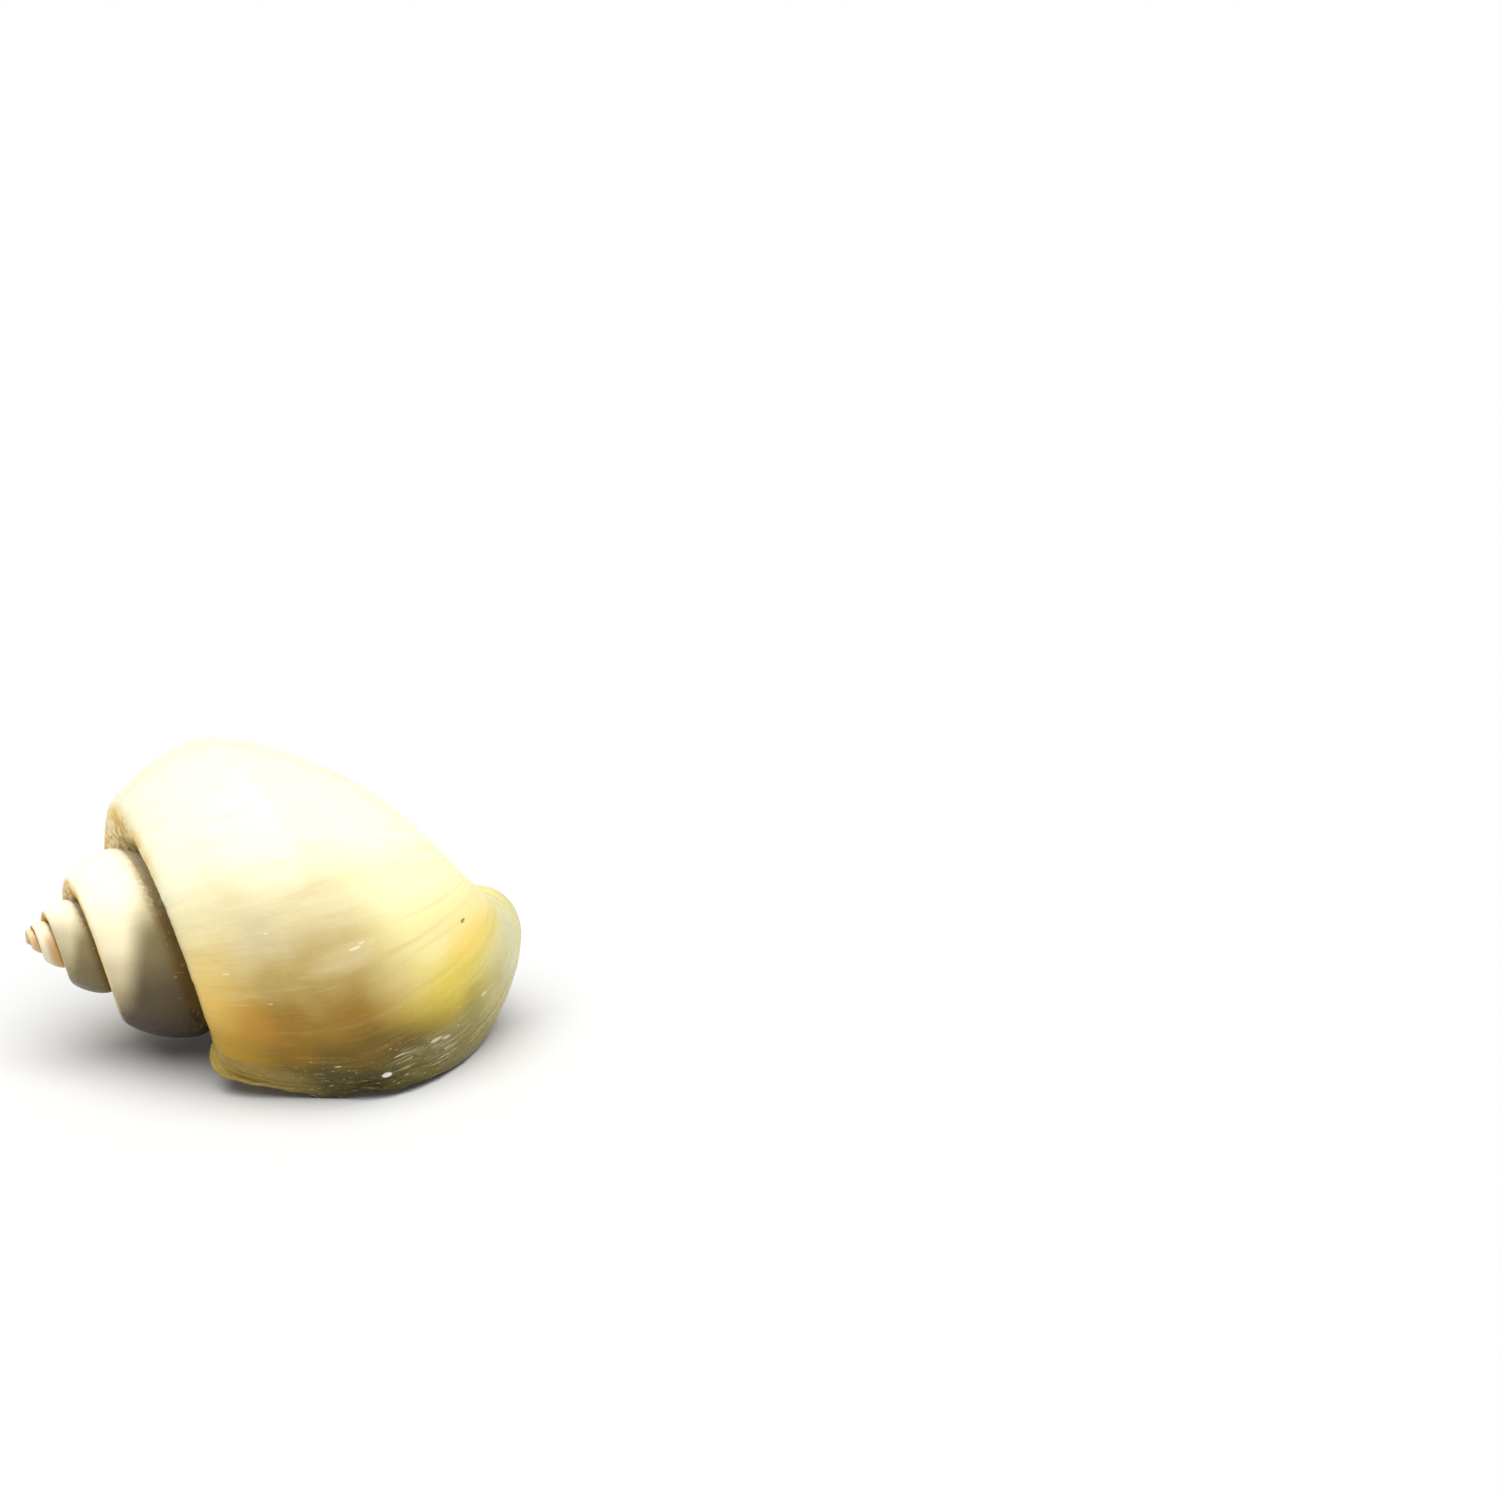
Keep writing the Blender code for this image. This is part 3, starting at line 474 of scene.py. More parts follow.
def shell_finish():
    """Glossy ivory shell, darker towards the lower lip as painted shade over real khaki staining, with painted shade
    on the lower side of each spire whorl and a thin olive band of new growth.
    """
    make = Nodes("ivory_shell")
    coil = make.attribute("coil").outputs["Vector"]
    angle = make.put("ShaderNodeSeparateXYZ", {0: coil}).outputs["X"]
    before = make.attribute("before").outputs["Fac"]
    following = make.attribute("following").outputs["Fac"]
    inside = make.attribute("inside").outputs["Fac"]
    place = make.put("ShaderNodeTexCoord").outputs["Object"]

    cloud = make.noise(make.scale(coil, (2.4, 1.5, 1.5)), 1.0, 3.0)
    streaks = make.noise(make.scale(coil, (22.0, 1.3, 1.3)), 1.0, 6.0, 0.6)
    hairs = make.noise(make.scale(coil, (150.0, 5.0, 5.0)), 1.0, 4.0, 0.6)
    threads = make.noise(make.scale(coil, (75.0, 6.0, 6.0)), 1.0, 2.0, 0.5)
    mottle = make.noise(place, 260.0, 5.0, 0.6)
    grit = make.noise(place, 1500.0, 3.0, 0.7)

    wavy = make.math("ADD", angle, make.ramp(cloud, 0.3, 0.7, -0.05, 0.05))
    # Painted shade: the lower side of the body whorl, towards the lip, takes the darker table.
    dark_reach = make.ramp(angle, -0.82, -0.5, 0.0, 0.24)
    below = make.ramp(make.math("ADD", make.facing(coil, 326.0), dark_reach), -0.02, 0.86)
    colour = make.mix(below, make.colours(wavy, LIGHT_SIDE), make.colours(wavy, STAINED_AND_SHADED_SIDE))
    by_seam = make.times(make.towards(coil, 250.0, 0.42, 1.0), make.ramp(angle, -2.0, -1.2))
    colour = make.mix(make.times(by_seam, 0.9), colour, make.colours(wavy, SEAM_SIDE))
    crest = make.times(make.towards(coil, 92.0, 0.86, 0.99), make.ramp(angle, -0.9, -0.5))
    colour = make.mix(make.times(crest, 0.85), colour, rgb(0.84, 0.80, 0.52))
    blotch = make.spot(coil, -0.88, 298.0, 0.26, 0.46, 0.1, 1.0)
    colour = make.mix(make.times(blotch, make.ramp(mottle, 0.3, 0.6, 0.35, 0.6)), colour, rgb(0.50, 0.22, 0.012))
    golden = make.spot(coil, -0.66, 316.0, 0.22, 0.36, 0.1, 1.0)
    colour = make.mix(make.times(golden, 0.4), colour, rgb(0.40, 0.20, 0.004))
    glow = make.spot(coil, -0.95, 70.0, 0.20, 0.30, 0.1, 1.0)
    colour = make.mix(make.times(glow, 0.5), colour, rgb(1.0, 0.66, 0.10))
    pale_band = make.spot(coil, -1.22, 8.0, 0.10, 0.55, 0.2, 1.0)
    colour = make.mix(make.times(pale_band, 0.3), colour, rgb(0.86, 0.76, 0.50))
    dull = make.spot(coil, -1.42, 322.0, 0.16, 0.42, 0.1, 1.0)
    colour = make.mix(make.times(dull, 0.35), colour, rgb(0.50, 0.42, 0.25))

    spire = make.ramp(angle, -4.6, -5.8)
    plain = make.math("SUBTRACT", 1.0, spire)
    turns = make.math("MULTIPLY", make.math("ADD", angle, SPIRE_START + 5.0 * TURN), 1.0 / TURN)
    phase = make.math("MULTIPLY_ADD", make.math("FRACT", turns), TURN)
    phase.node.inputs[2].default_value = -SPIRE_START
    # Painted shade on the spire: the lower side of each whorl, round side 10 degrees, takes the darker table.
    shade = make.math("MULTIPLY_ADD", phase, 0.75)
    shade.node.inputs[2].default_value = 0.75 * 7.45
    shade = make.math("ADD", shade, make.facing(coil, 10.0))
    shade = make.times(make.ramp(shade, 0.15, 0.72), make.ramp(phase, -5.6, -6.2))
    whorl = make.mix(shade, make.colours(phase, SPIRE_SIDE), make.colours(phase, SPIRE_SHADE))
    # Painted shade: the lower part of the third whorl and older ones is darkened further.
    third = make.ramp(angle, -11.5, -13.0)
    whorl = make.mix(make.times(third, make.ramp(phase, -9.0, -7.9), 0.55), whorl, rgb(0.27, 0.21, 0.10))
    young = make.ramp(angle, -17.5, -19.0)
    whorl = make.mix(make.times(young, 0.8), whorl, rgb(0.90, 0.82, 0.62))
    warm = make.times(make.ramp(angle, -18.2, -19.2), make.towards(coil, 10.0, 0.2, 0.9), make.ramp(phase, -8.6, -7.4))
    whorl = make.mix(make.times(warm, 0.85), whorl, rgb(0.55, 0.30, 0.07))
    colour = make.mix(spire, colour, whorl)

    dim = make.math("SUBTRACT", 1.0, make.times(below, make.ramp(angle, -1.3, -0.7), 0.75))
    streaky = make.times(plain, dim)
    colour = make.mix(make.times(make.ramp(streaks, 0.52, 0.74, 0.0, 0.2), streaky), colour, rgb(0.92, 0.87, 0.58))
    colour = make.mix(make.times(make.ramp(streaks, 0.48, 0.3, 0.0, 0.2), plain), colour, rgb(0.46, 0.30, 0.08))
    colour = make.mix(make.times(make.ramp(hairs, 0.55, 0.75, 0.0, 0.10), streaky), colour, rgb(0.95, 0.91, 0.68))

    lip_from = make.towards(coil, 85.0, 0.75, 1.0)
    lip_angle = make.math("ADD", wavy, make.times(lip_from, 0.2))
    lip = make.ramp(lip_angle, -0.54, -0.34)
    # Lip band: real olive new growth, darkened as painted shade where it faces down.
    colour = make.mix(make.times(lip, 0.8), colour, make.colours(make.facing(coil, 346.0), NEW_GROWTH_AND_SHADE))
    warm_lip = make.times(lip, make.towards(coil, 268.0, 0.55, 1.0))
    colour = make.mix(make.times(warm_lip, 0.6), colour, rgb(0.36, 0.24, 0.055))
    stripe = make.times(make.ramp(threads, 0.60, 0.68), make.ramp(lip_angle, -0.62, -0.44))
    colour = make.mix(make.times(stripe, 0.26), colour, rgb(0.62, 0.58, 0.20))
    lines = make.noise(make.scale(coil, (110.0, 1.4, 1.4)), 1.0, 2.0, 0.5)
    broken = make.ramp(make.noise(make.scale(coil, (9.0, 5.0, 5.0)), 1.0, 3.0), 0.40, 0.56)
    line = make.times(make.ramp(lines, 0.57, 0.63), broken, make.towards(coil, 66.0, 0.35, 0.85))
    line = make.times(line, make.ramp(angle, -0.56, -0.40), make.ramp(angle, -0.06, -0.16))
    colour = make.mix(make.times(line, 0.6), colour, rgb(0.86, 0.84, 0.56))
    flecks = make.noise(make.scale(coil, (60.0, 14.0, 14.0)), 1.0, 1.0)
    fleck = make.times(make.ramp(flecks, 0.69, 0.73), make.ramp(lip_angle, -0.70, -0.50))
    colour = make.mix(make.times(fleck, 0.4), colour, rgb(0.80, 0.76, 0.46))
    for scratch in SCRATCHES:
        colour = make.mix(make.times(make.spot(coil, *scratch), 0.5), colour, rgb(0.95, 0.90, 0.70))
    colour = make.mix(make.spot(coil, -0.305, 1.0, 0.036, 0.06, 0.75, 1.0), colour, rgb(0.72, 0.72, 0.62))
    # Painted shade: the last edge of the lip darkened nearly to black where it faces down.
    lip_edge_shade = make.times(make.ramp(angle, -0.13, -0.01), make.towards(coil, 350.0, 0.45, 0.9))
    colour = make.mix(make.times(lip_edge_shade, 0.45), colour, rgb(0.025, 0.02, 0.006))
    pit = make.spot(coil, -1.063, 71.0, 0.012, 0.019)
    colour = make.mix(make.times(pit, 0.85), colour, rgb(0.30, 0.21, 0.07))

    patchy = make.math("ADD", make.times(mottle, 0.5), make.times(grit, 0.5))
    old = make.ramp(angle, -1.75, -2.05)
    # A real yellow-brown stain under the body whorl's edge by the suture, painted brighter as painted light where the
    # overhang shades it.
    under_edge_stain_and_light = make.times(make.ramp(before, 7.6, 5.2), make.ramp(patchy, 0.42, 0.50, 0.45, 1.0), old)
    colour = make.mix(make.times(under_edge_stain_and_light, 0.85), colour, rgb(0.92, 0.70, 0.26))
    fuzz = make.times(make.ramp(before, 6.8, 4.0), make.ramp(patchy, 0.47, 0.53), old)
    colour = make.mix(make.times(fuzz, 0.6), colour, rgb(0.62, 0.36, 0.08))
    stain = make.times(make.ramp(before, 5.0, 3.0), make.ramp(patchy, 0.46, 0.54))
    colour = make.mix(make.times(stain, 0.5), colour, rgb(0.52, 0.34, 0.12))
    # Dark brown crust along the sutures: real staining, spread wider on the lower part of each whorl as painted shade.
    low_part = make.ramp(phase, -9.0, -7.7, 0.2, 1.0)
    crust_and_shade = make.times(make.ramp(following, 7.0, 4.6), make.ramp(patchy, 0.46, 0.54), low_part)
    colour = make.mix(make.times(crust_and_shade, 0.6), colour, rgb(0.20, 0.105, 0.035))
    crumbs = make.times(make.ramp(following, 8.0, 5.0), make.ramp(grit, 0.62, 0.68))
    colour = make.mix(make.times(crumbs, 0.5), colour, rgb(0.66, 0.55, 0.36))
    seam_line = make.ramp(following, 5.1, 4.3)
    colour = make.mix(make.times(seam_line, 0.6), colour, rgb(0.14, 0.10, 0.035))
    tip = make.ramp(angle, -3.1 * TURN, -4.2 * TURN)
    colour = make.mix(make.times(tip, 0.6), colour, rgb(0.66, 0.42, 0.17))
    pearl = make.mix(make.ramp(hairs, 0.4, 0.7), rgb(0.90, 0.84, 0.66), rgb(0.80, 0.72, 0.48))
    colour = make.mix(inside, colour, pearl)
    make.feed(make.shader.inputs["Base Color"], colour)
    matte = make.math("MAXIMUM", under_edge_stain_and_light, crust_and_shade)
    rough = make.ramp(mottle, 0.3, 0.7, 0.20, 0.36)
    make.feed(make.shader.inputs["Roughness"], make.math("MAXIMUM", rough, make.times(matte, 0.8)))
    make.feed(make.shader.inputs["Specular IOR Level"], make.ramp(matte, 0.0, 1.0, 0.2, 0.04))
    make.feed(make.shader.inputs["Coat Weight"], make.ramp(matte, 0.0, 1.0, 0.12, 0.0))
    make.shader.inputs["Subsurface Weight"].default_value = 0.06
    make.shader.inputs["Subsurface Radius"].default_value = (1.0, 0.6, 0.25)
    make.shader.inputs["Subsurface Scale"].default_value = 0.002
    make.shader.inputs["Coat Roughness"].default_value = 0.14
    height = make.math("ADD", make.times(streaks, 0.6), make.times(hairs, 0.4))
    normal = make.bump(height, 0.3, 0.0002)
    normal = make.bump(make.times(pit, -1.0), 1.0, 0.0003, normal)
    make.feed(make.shader.inputs["Normal"], normal)
    return make.material


def flesh_finish():
    """Moist cream skin with yellow-orange specks that crowd on the back of the head and feelers."""
    make = Nodes("cream_flesh")
    place = make.put("ShaderNodeTexCoord").outputs["Object"]
    mouth = make.attribute("mouth").outputs["Fac"]
    soft = make.noise(place, 220.0, 4.0)
    blush = make.noise(place, 75.0, 2.0)
    colour = make.mix(make.ramp(soft, 0.35, 0.7), rgb(0.86, 0.76, 0.56), rgb(0.74, 0.60, 0.38))
    colour = make.mix(make.ramp(blush, 0.45, 0.7, 0.0, 0.4), colour, rgb(0.66, 0.50, 0.33))
    warp = make.put("ShaderNodeTexNoise", {"Vector": place, "Scale": 1900.0, "Detail": 3.0}).outputs["Color"]
    warp = make.scale(warp, (0.0006, 0.0006, 0.0006))
    ragged = make.put("ShaderNodeVectorMath", {0: place, 1: warp}, operation="ADD").outputs[0]
    coarse = make.put("ShaderNodeTexVoronoi", {"Vector": ragged, "Scale": 1500.0, "Randomness": 1.0})
    few = make.ramp(make.noise(place, 330.0, 2.0), 0.48, 0.58)
    speck = make.times(make.ramp(coarse.outputs["Distance"], 0.30, 0.14), few)
    colour = make.mix(make.times(speck, 0.6), colour, rgb(0.82, 0.46, 0.09))
    small = make.put("ShaderNodeTexVoronoi", {"Vector": place, "Scale": 3400.0, "Randomness": 1.0})
    dot = make.times(make.ramp(small.outputs["Distance"], 0.26, 0.16), make.ramp(soft, 0.42, 0.56))
    colour = make.mix(make.times(dot, 0.45), colour, rgb(0.78, 0.46, 0.14))
    colour = make.mix(make.ramp(mouth, 0.15, 0.9, 0.0, 0.8), colour, rgb(0.36, 0.14, 0.07))
    make.feed(make.shader.inputs["Base Color"], colour)
    make.feed(make.shader.inputs["Roughness"], make.ramp(soft, 0.3, 0.7, 0.32, 0.48))
    make.shader.inputs["Subsurface Weight"].default_value = 0.25
    make.shader.inputs["Subsurface Radius"].default_value = (1.0, 0.45, 0.2)
    make.shader.inputs["Subsurface Scale"].default_value = 0.0015
    make.shader.inputs["Coat Weight"].default_value = 0.3
    make.shader.inputs["Coat Roughness"].default_value = 0.28
    cells = make.put("ShaderNodeTexVoronoi", {"Vector": place, "Scale": 3000.0}, feature="F1").outputs["Distance"]
    wrinkles = make.noise(make.scale(place, (1.0, 1.0, 1.6)), 1500.0, 3.0, 0.6)
    normal = make.bump(cells, 0.35, -0.00012)
    make.feed(make.shader.inputs["Normal"], make.bump(wrinkles, 0.35, 0.00015, normal))
    return make.material


def eye_finish():
    """Near-black eye, paler brown towards its base."""
    make = Nodes("snail_eye")
    front = make.attribute("front").outputs["Fac"]
    place = make.put("ShaderNodeTexCoord").outputs["Object"]
    cloud = make.noise(place, 1400.0, 2.0)
    back = make.times(make.ramp(front, 0.25, -0.25), make.ramp(cloud, 0.3, 0.7, 0.4, 1.0))
    colour = make.mix(back, rgb(0.010, 0.008, 0.008), rgb(0.10, 0.055, 0.025))
    make.feed(make.shader.inputs["Base Color"], colour)
    make.feed(make.shader.inputs["Roughness"], make.ramp(cloud, 0.3, 0.7, 0.10, 0.15))
    make.shader.inputs["Coat Weight"].default_value = 0.5
    make.shader.inputs["Coat Roughness"].default_value = 0.05
    return make.material


def lid_finish():
    """Brown horn in rings, darker at the start and paler and worn at the edge."""
    make = Nodes("horny_lid")
    ring = make.attribute("ring").outputs["Fac"]
    place = make.put("ShaderNodeTexCoord").outputs["Object"]
    bands = make.noise(make.put("ShaderNodeCombineXYZ", {0: ring}).outputs[0], 34.0, 4.0, 0.6)
    mottle = make.noise(place, 500.0, 5.0, 0.6)
    colour = make.mix(make.ramp(bands, 0.35, 0.65), rgb(0.30, 0.15, 0.055), rgb(0.13, 0.055, 0.02))
    colour = make.mix(make.ramp(ring, 0.82, 1.0, 0.0, 0.7), colour, rgb(0.42, 0.25, 0.10))
    colour = make.mix(make.ramp(mottle, 0.5, 0.7, 0.0, 0.45), colour, rgb(0.40, 0.24, 0.11))
    make.feed(make.shader.inputs["Base Color"], colour)
    make.feed(make.shader.inputs["Roughness"], make.ramp(mottle, 0.3, 0.7, 0.24, 0.42))
    height = make.math("ADD", make.times(bands, 0.6), make.times(mottle, 0.4))
    make.feed(make.shader.inputs["Normal"], make.bump(height, 0.5, 0.0002))
    return make.material


FLESH_NODES = (
    "mantle", "mantle_edge", "neck", "foot_rear", "foot_middle", "foot_front", "head", "snout",
    "palp_left", "palp_right", "tentacle_left_base", "tentacle_left_tip",
    "tentacle_right_base", "tentacle_right_tip", "eye_stalk_left", "eye_stalk_right", "siphon",
)
SHELL_NODES = (
    "shell_apex", "shell_upper_spire", "shell_penultimate_whorl",
    "shell_body_whorl", "shell_outer_lip", "shell_inner_lip",
)
SKIN_GROWTH = 0.2 * MM
INNER_GROWTH = -0.25 * MM
SKIN_VOXEL = 0.16 * MM
FLOOR_FLAT = 0.12 * MM

# Places of the soft parts, in millimetres right of, behind and above the floor point under the apex.
SIPHON = ((34.0, 7.8, 6.0), (32.2, 11.8, 6.6), (29.6, 15.8, 7.4))
SIPHON_RADII = ((0.0, 2.2), (0.6, 1.8), (1.0, 2.3))
SIPHON_WALL = 0.6
SIPHON_DEPTH = 0.55
EYE_STALKS = {
    "eye_left": ((36.3, 11.6, 7.4), (34.9, 11.6, 9.0)),
    "eye_right": ((41.0, 11.6, 7.4), (42.6, 11.4, 8.9)),
}
FEELER_ENDS = (
    (((24.4, 21.9, 5.2), (19.9, 22.9, 3.6)), 0.5),
    (((39.2, 25.7, 3.2), (33.2, 27.5, 1.7)), 0.5),
    (((37.0, 22.2, 2.6), (35.4, 24.2, 1.9)), 0.56),
    (((40.9, 22.0, 2.4), (39.8, 24.0, 1.5)), 0.56),
)
RIM_SIDES = (math.radians(-76.0), math.radians(101.0))
RIM_TAPER = math.radians(30.0)
RIM_MIDDLE = -0.38
RIM_OUTSIDE = -1.1
RIM_LEVELS = ((-0.60, -1.1), (-0.255, -1.1), (-0.13, -1.6), (-0.15, -3.2), (-0.60, -3.6))
MOUTH = (39.4, 20.5, 3.2)
MOUTH_AHEAD = Vector((0.1, 0.93, -0.36)).normalized()
LID_PLACE = (24.6, 16.2, 3.6)
LID_HALF_SIZES = (8.2, 5.6)
LID_TURN = math.radians(-32.0)
LID_TILT = math.radians(-3.0)


def under(right, behind, above):
    """A place in millimetres from the floor point under the apex, in metres."""
    return Vector((APEX[0] + right * MM, APEX[1] + behind * MM, above * MM))


def smooth_between(table, place):
    """Reads a value from (place, value) pairs, easing from one to the next."""
    for (start, low), (end, high) in zip(table, table[1:]):
        if place <= end:
            part = min(max((place - start) / (end - start), 0.0), 1.0)
            part = part * part * (3.0 - 2.0 * part)
            return low + (high - low) * part
    return table[-1][1]


def along_arc(points, place):
    """A point on the bow through three points, at 0 to 1 of its length."""
    first, middle, last = [Vector(point) for point in points]
    control = 2.0 * middle - 0.5 * (first + last)
    return first * (1.0 - place) ** 2 + control * 2.0 * place * (1.0 - place) + last * place ** 2


def ring_round(middle, ahead, radius, count, squash=1.0):
    """A circle of points round a line's direction, flattened in height by squash."""
    across = Vector((0.0, 0.0, 1.0)).cross(ahead).normalized()
    top = ahead.cross(across)
    ring = []
    for index in range(count):
        turn = TURN * index / count
        spot = middle + across * (radius * math.cos(turn)) + top * (radius * squash * math.sin(turn))
        ring.append(under(*spot))
    return ring


def add_loft(whole, rings):
    """Adds a closed tube through the rings, capped at both ends, to a bmesh."""
    rows = [[whole.verts.new(spot) for spot in ring] for ring in rings]
    for one, two in zip(rows, rows[1:]):
        count = len(one)
        for index in range(count):
            after = (index + 1) % count
            whole.faces.new((one[index], one[after], two[after], two[index]))
    whole.faces.new(rows[0][::-1])
    whole.faces.new(rows[-1])


def add_siphon(whole):
    """The breathing siphon: a soft tube that is open at its end."""
    rings = []
    for step in range(13):
        place = step / 12.0
        ahead = (along_arc(SIPHON, place + 0.01) - along_arc(SIPHON, place - 0.01)).normalized()
        radius = smooth_between(SIPHON_RADII, place) + 0.15
        rings.append(ring_round(along_arc(SIPHON, place), ahead, radius, 28))
    lip = along_arc(SIPHON, 1.03)
    ahead = (along_arc(SIPHON, 1.0) - along_arc(SIPHON, 0.98)).normalized()
    rings.append(ring_round(lip, ahead, SIPHON_RADII[-1][1] - 0.25, 28))
    for step in range(7):
        place = 1.0 - (1.0 - SIPHON_DEPTH) * step / 6.0
        ahead = (along_arc(SIPHON, place + 0.01) - along_arc(SIPHON, place - 0.01)).normalized()
        radius = (smooth_between(SIPHON_RADII, place) - SIPHON_WALL) * (1.0 - 0.5 * (step / 6.0) ** 3)
        rings.append(ring_round(along_arc(SIPHON, place), ahead, radius, 28))
    add_loft(whole, rings)


def add_collar(whole, stalk):
    """A fold of skin round the base of an eye."""
    foot = Vector(stalk[0])
    tip = Vector(stalk[1])
    ahead = (tip - foot).normalized()
    rings = []
    for back, radius in ((-0.35, 0.62), (-0.15, 0.84), (0.12, 0.86), (0.3, 0.74), (0.36, 0.62)):
        rings.append(ring_round(tip + ahead * back, ahead, radius, 20))
    add_loft(whole, rings)


def add_tip(whole, points, radius):
    """The rounded end of a feeler, past the last of its points."""
    last = Vector(points[-1])
    ahead = (last - Vector(points[-2])).normalized()
    rings = []
    for beyond, size in ((-0.7, 0.8), (-0.2, 0.97), (0.3, 0.9), (0.7, 0.7), (1.0, 0.42), (1.1, 0.15)):
        rings.append(ring_round(last + ahead * beyond * radius, ahead, radius * size, 16))
    add_loft(whole, rings)


def add_rim_ends(whole):
    """Tapering ends for the thick rim of skin inside the lip."""
    for first, reach in ((RIM_SIDES[0], -RIM_TAPER), (RIM_SIDES[1], RIM_TAPER)):
        rings = []
        for step in range(13):
            part = step / 12.0
            size = math.sqrt(1.0 - (0.97 * part) ** 2)
            ring = []
            for angle, depth in RIM_LEVELS:
                angle = RIM_MIDDLE + (angle - RIM_MIDDLE) * size
                depth = RIM_OUTSIDE + (depth - RIM_OUTSIDE) * size
                spot = shell_point(np.array([angle]), first + reach * part, depth * MM)[0][0]
                ring.append(Vector(spot.tolist()))
            rings.append(ring)
        add_loft(whole, rings)


def lid_spot(across, along, above):
    """A place on the lid, in millimetres from its centre, in its own directions."""
    turned = Vector((
        across * math.cos(LID_TURN) - along * math.sin(LID_TURN),
        across * math.sin(LID_TURN) + along * math.cos(LID_TURN),
        above + along * math.sin(LID_TILT),
    ))
    return under(LID_PLACE[0] + turned.x, LID_PLACE[1] + turned.y, LID_PLACE[2] + turned.z)


def lid_outline(turn):
    """The lid's edge: an oval that is a little pointed at one end and flatter on its inner side."""
    point = 1.0 + 0.07 * math.cos(turn)
    flat = 1.0 - 0.07 * max(math.sin(turn), 0.0) ** 2
    return LID_HALF_SIZES[0] * math.cos(turn), LID_HALF_SIZES[1] * math.sin(turn) * point * flat


def add_lid_pad(whole):
    """The pad of flesh that carries the lid on the back of the tail."""
    rings = []
    for above, size in ((-3.1, 0.55), (-2.2, 0.7), (-1.2, 0.74), (-0.6, 0.8), (-0.42, 0.76)):
        ring = []
        for index in range(36):
            across, along = lid_outline(TURN * index / 36)
            ring.append(lid_spot(across * size, along * size, above))
        rings.append(ring)
    add_loft(whole, rings)


def fused_skin():
    """One closed mesh over all the soft parts: their shapes grown a little and fused."""
    whole = bmesh.new()
    add_siphon(whole)
    add_lid_pad(whole)
    for stalk in EYE_STALKS.values():
        add_collar(whole, stalk)
    for points, radius in FEELER_ENDS:
        add_tip(whole, points, radius)
    add_rim_ends(whole)
    bmesh.ops.recalc_face_normals(whole, faces=whole.faces)
    for name in FLESH_NODES:
        if name == "siphon":
            continue
        growth = INNER_GROWTH if name == "mantle" else SKIN_GROWTH
        piece = bmesh.new()
        piece.from_mesh(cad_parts[name].data)
        bmesh.ops.remove_doubles(piece, verts=piece.verts, dist=0.0001 * MM)
        bmesh.ops.recalc_face_normals(piece, faces=piece.faces)
        piece.normal_update()
        moves = [vert.normal * growth for vert in piece.verts]
        for vert, move in zip(piece.verts, moves):
            vert.co += move
        mesh = bpy.data.meshes.new(name + "_copy")
        piece.to_mesh(mesh)
        piece.free()
        whole.from_mesh(mesh)
        bpy.data.meshes.remove(mesh)
    mesh = bpy.data.meshes.new("snail_flesh")
    whole.to_mesh(mesh)
    whole.free()
    return mesh


def skin_texture(name, kind, size):
    texture = bpy.data.textures.new(name, kind)
    texture.noise_scale = size
    return texture


def add_displacement(skin, name, texture, strength):
    ripple = skin.modifiers.new(name, "DISPLACE")
    ripple.texture = texture
    ripple.texture_coords = "LOCAL"
    ripple.mid_level = 0.5
    ripple.strength = strength


def sculpt_skin(points, normals):
    """Moves the skin's points for the mouth, its lips and the foot's frill. Also says where the mouth is."""
    mouth = np.array(under(*MOUTH))
    ahead = np.array(MOUTH_AHEAD)
    away = points - mouth
    side = away[:, 0] / MM
    front = away @ ahead / MM
    up_way = np.cross(np.array((1.0, 0.0, 0.0)), ahead)
    height = away @ up_way / MM
    near = np.exp(-((front / 1.5) ** 4)) * (front > -1.6)
    slit = np.exp(-((side / 0.26) ** 2) - (height / 0.95) ** 4)
    lips = np.exp(-(((np.hypot(side / 0.78, height / 1.35) - 1.0) / 0.36) ** 2))
    folds = np.sin(np.arctan2(height, side) * 14.0) * lips
    points = points - ahead * ((1.3 * slit - 0.28 * lips - 0.06 * folds) * near * MM)[:, None]

    flat_normal = normals.copy()
    flat_normal[:, 2] = 0.0
    length = np.linalg.norm(flat_normal, axis=1)
    flat_normal /= np.maximum(length, 1e-6)[:, None]
    low = np.exp(-((points[:, 2] / (0.75 * MM)) ** 2)) * smoothstep(0.25, 0.8, length)
    x_place = points[:, 0] / MM
    y_place = points[:, 1] / MM
    wave = np.sin(1.9 * x_place + 0.8 * y_place) + 0.7 * np.sin(2.3 * y_place - 1.1 * x_place + 1.0)
    wave += 0.5 * np.sin(4.1 * x_place + 3.3 * y_place)
    return points + flat_normal * (low * (0.28 + 0.13 * wave) * MM)[:, None], slit * near


def drop_crumbs(mesh):
    """Deletes the small closed pieces that fusing can leave apart from the skin."""
    whole = bmesh.new()
    whole.from_mesh(mesh)
    first = max(whole.verts, key=lambda vert: vert.co.x)
    reached = {first}
    waiting = [first]
    while waiting:
        for edge in waiting.pop().link_edges:
            for vert in edge.verts:
                if vert not in reached:
                    reached.add(vert)
                    waiting.append(vert)
    crumbs = [vert for vert in whole.verts if vert not in reached]
    bmesh.ops.delete(whole, geom=crumbs, context="VERTS")
    whole.to_mesh(mesh)
    whole.free()


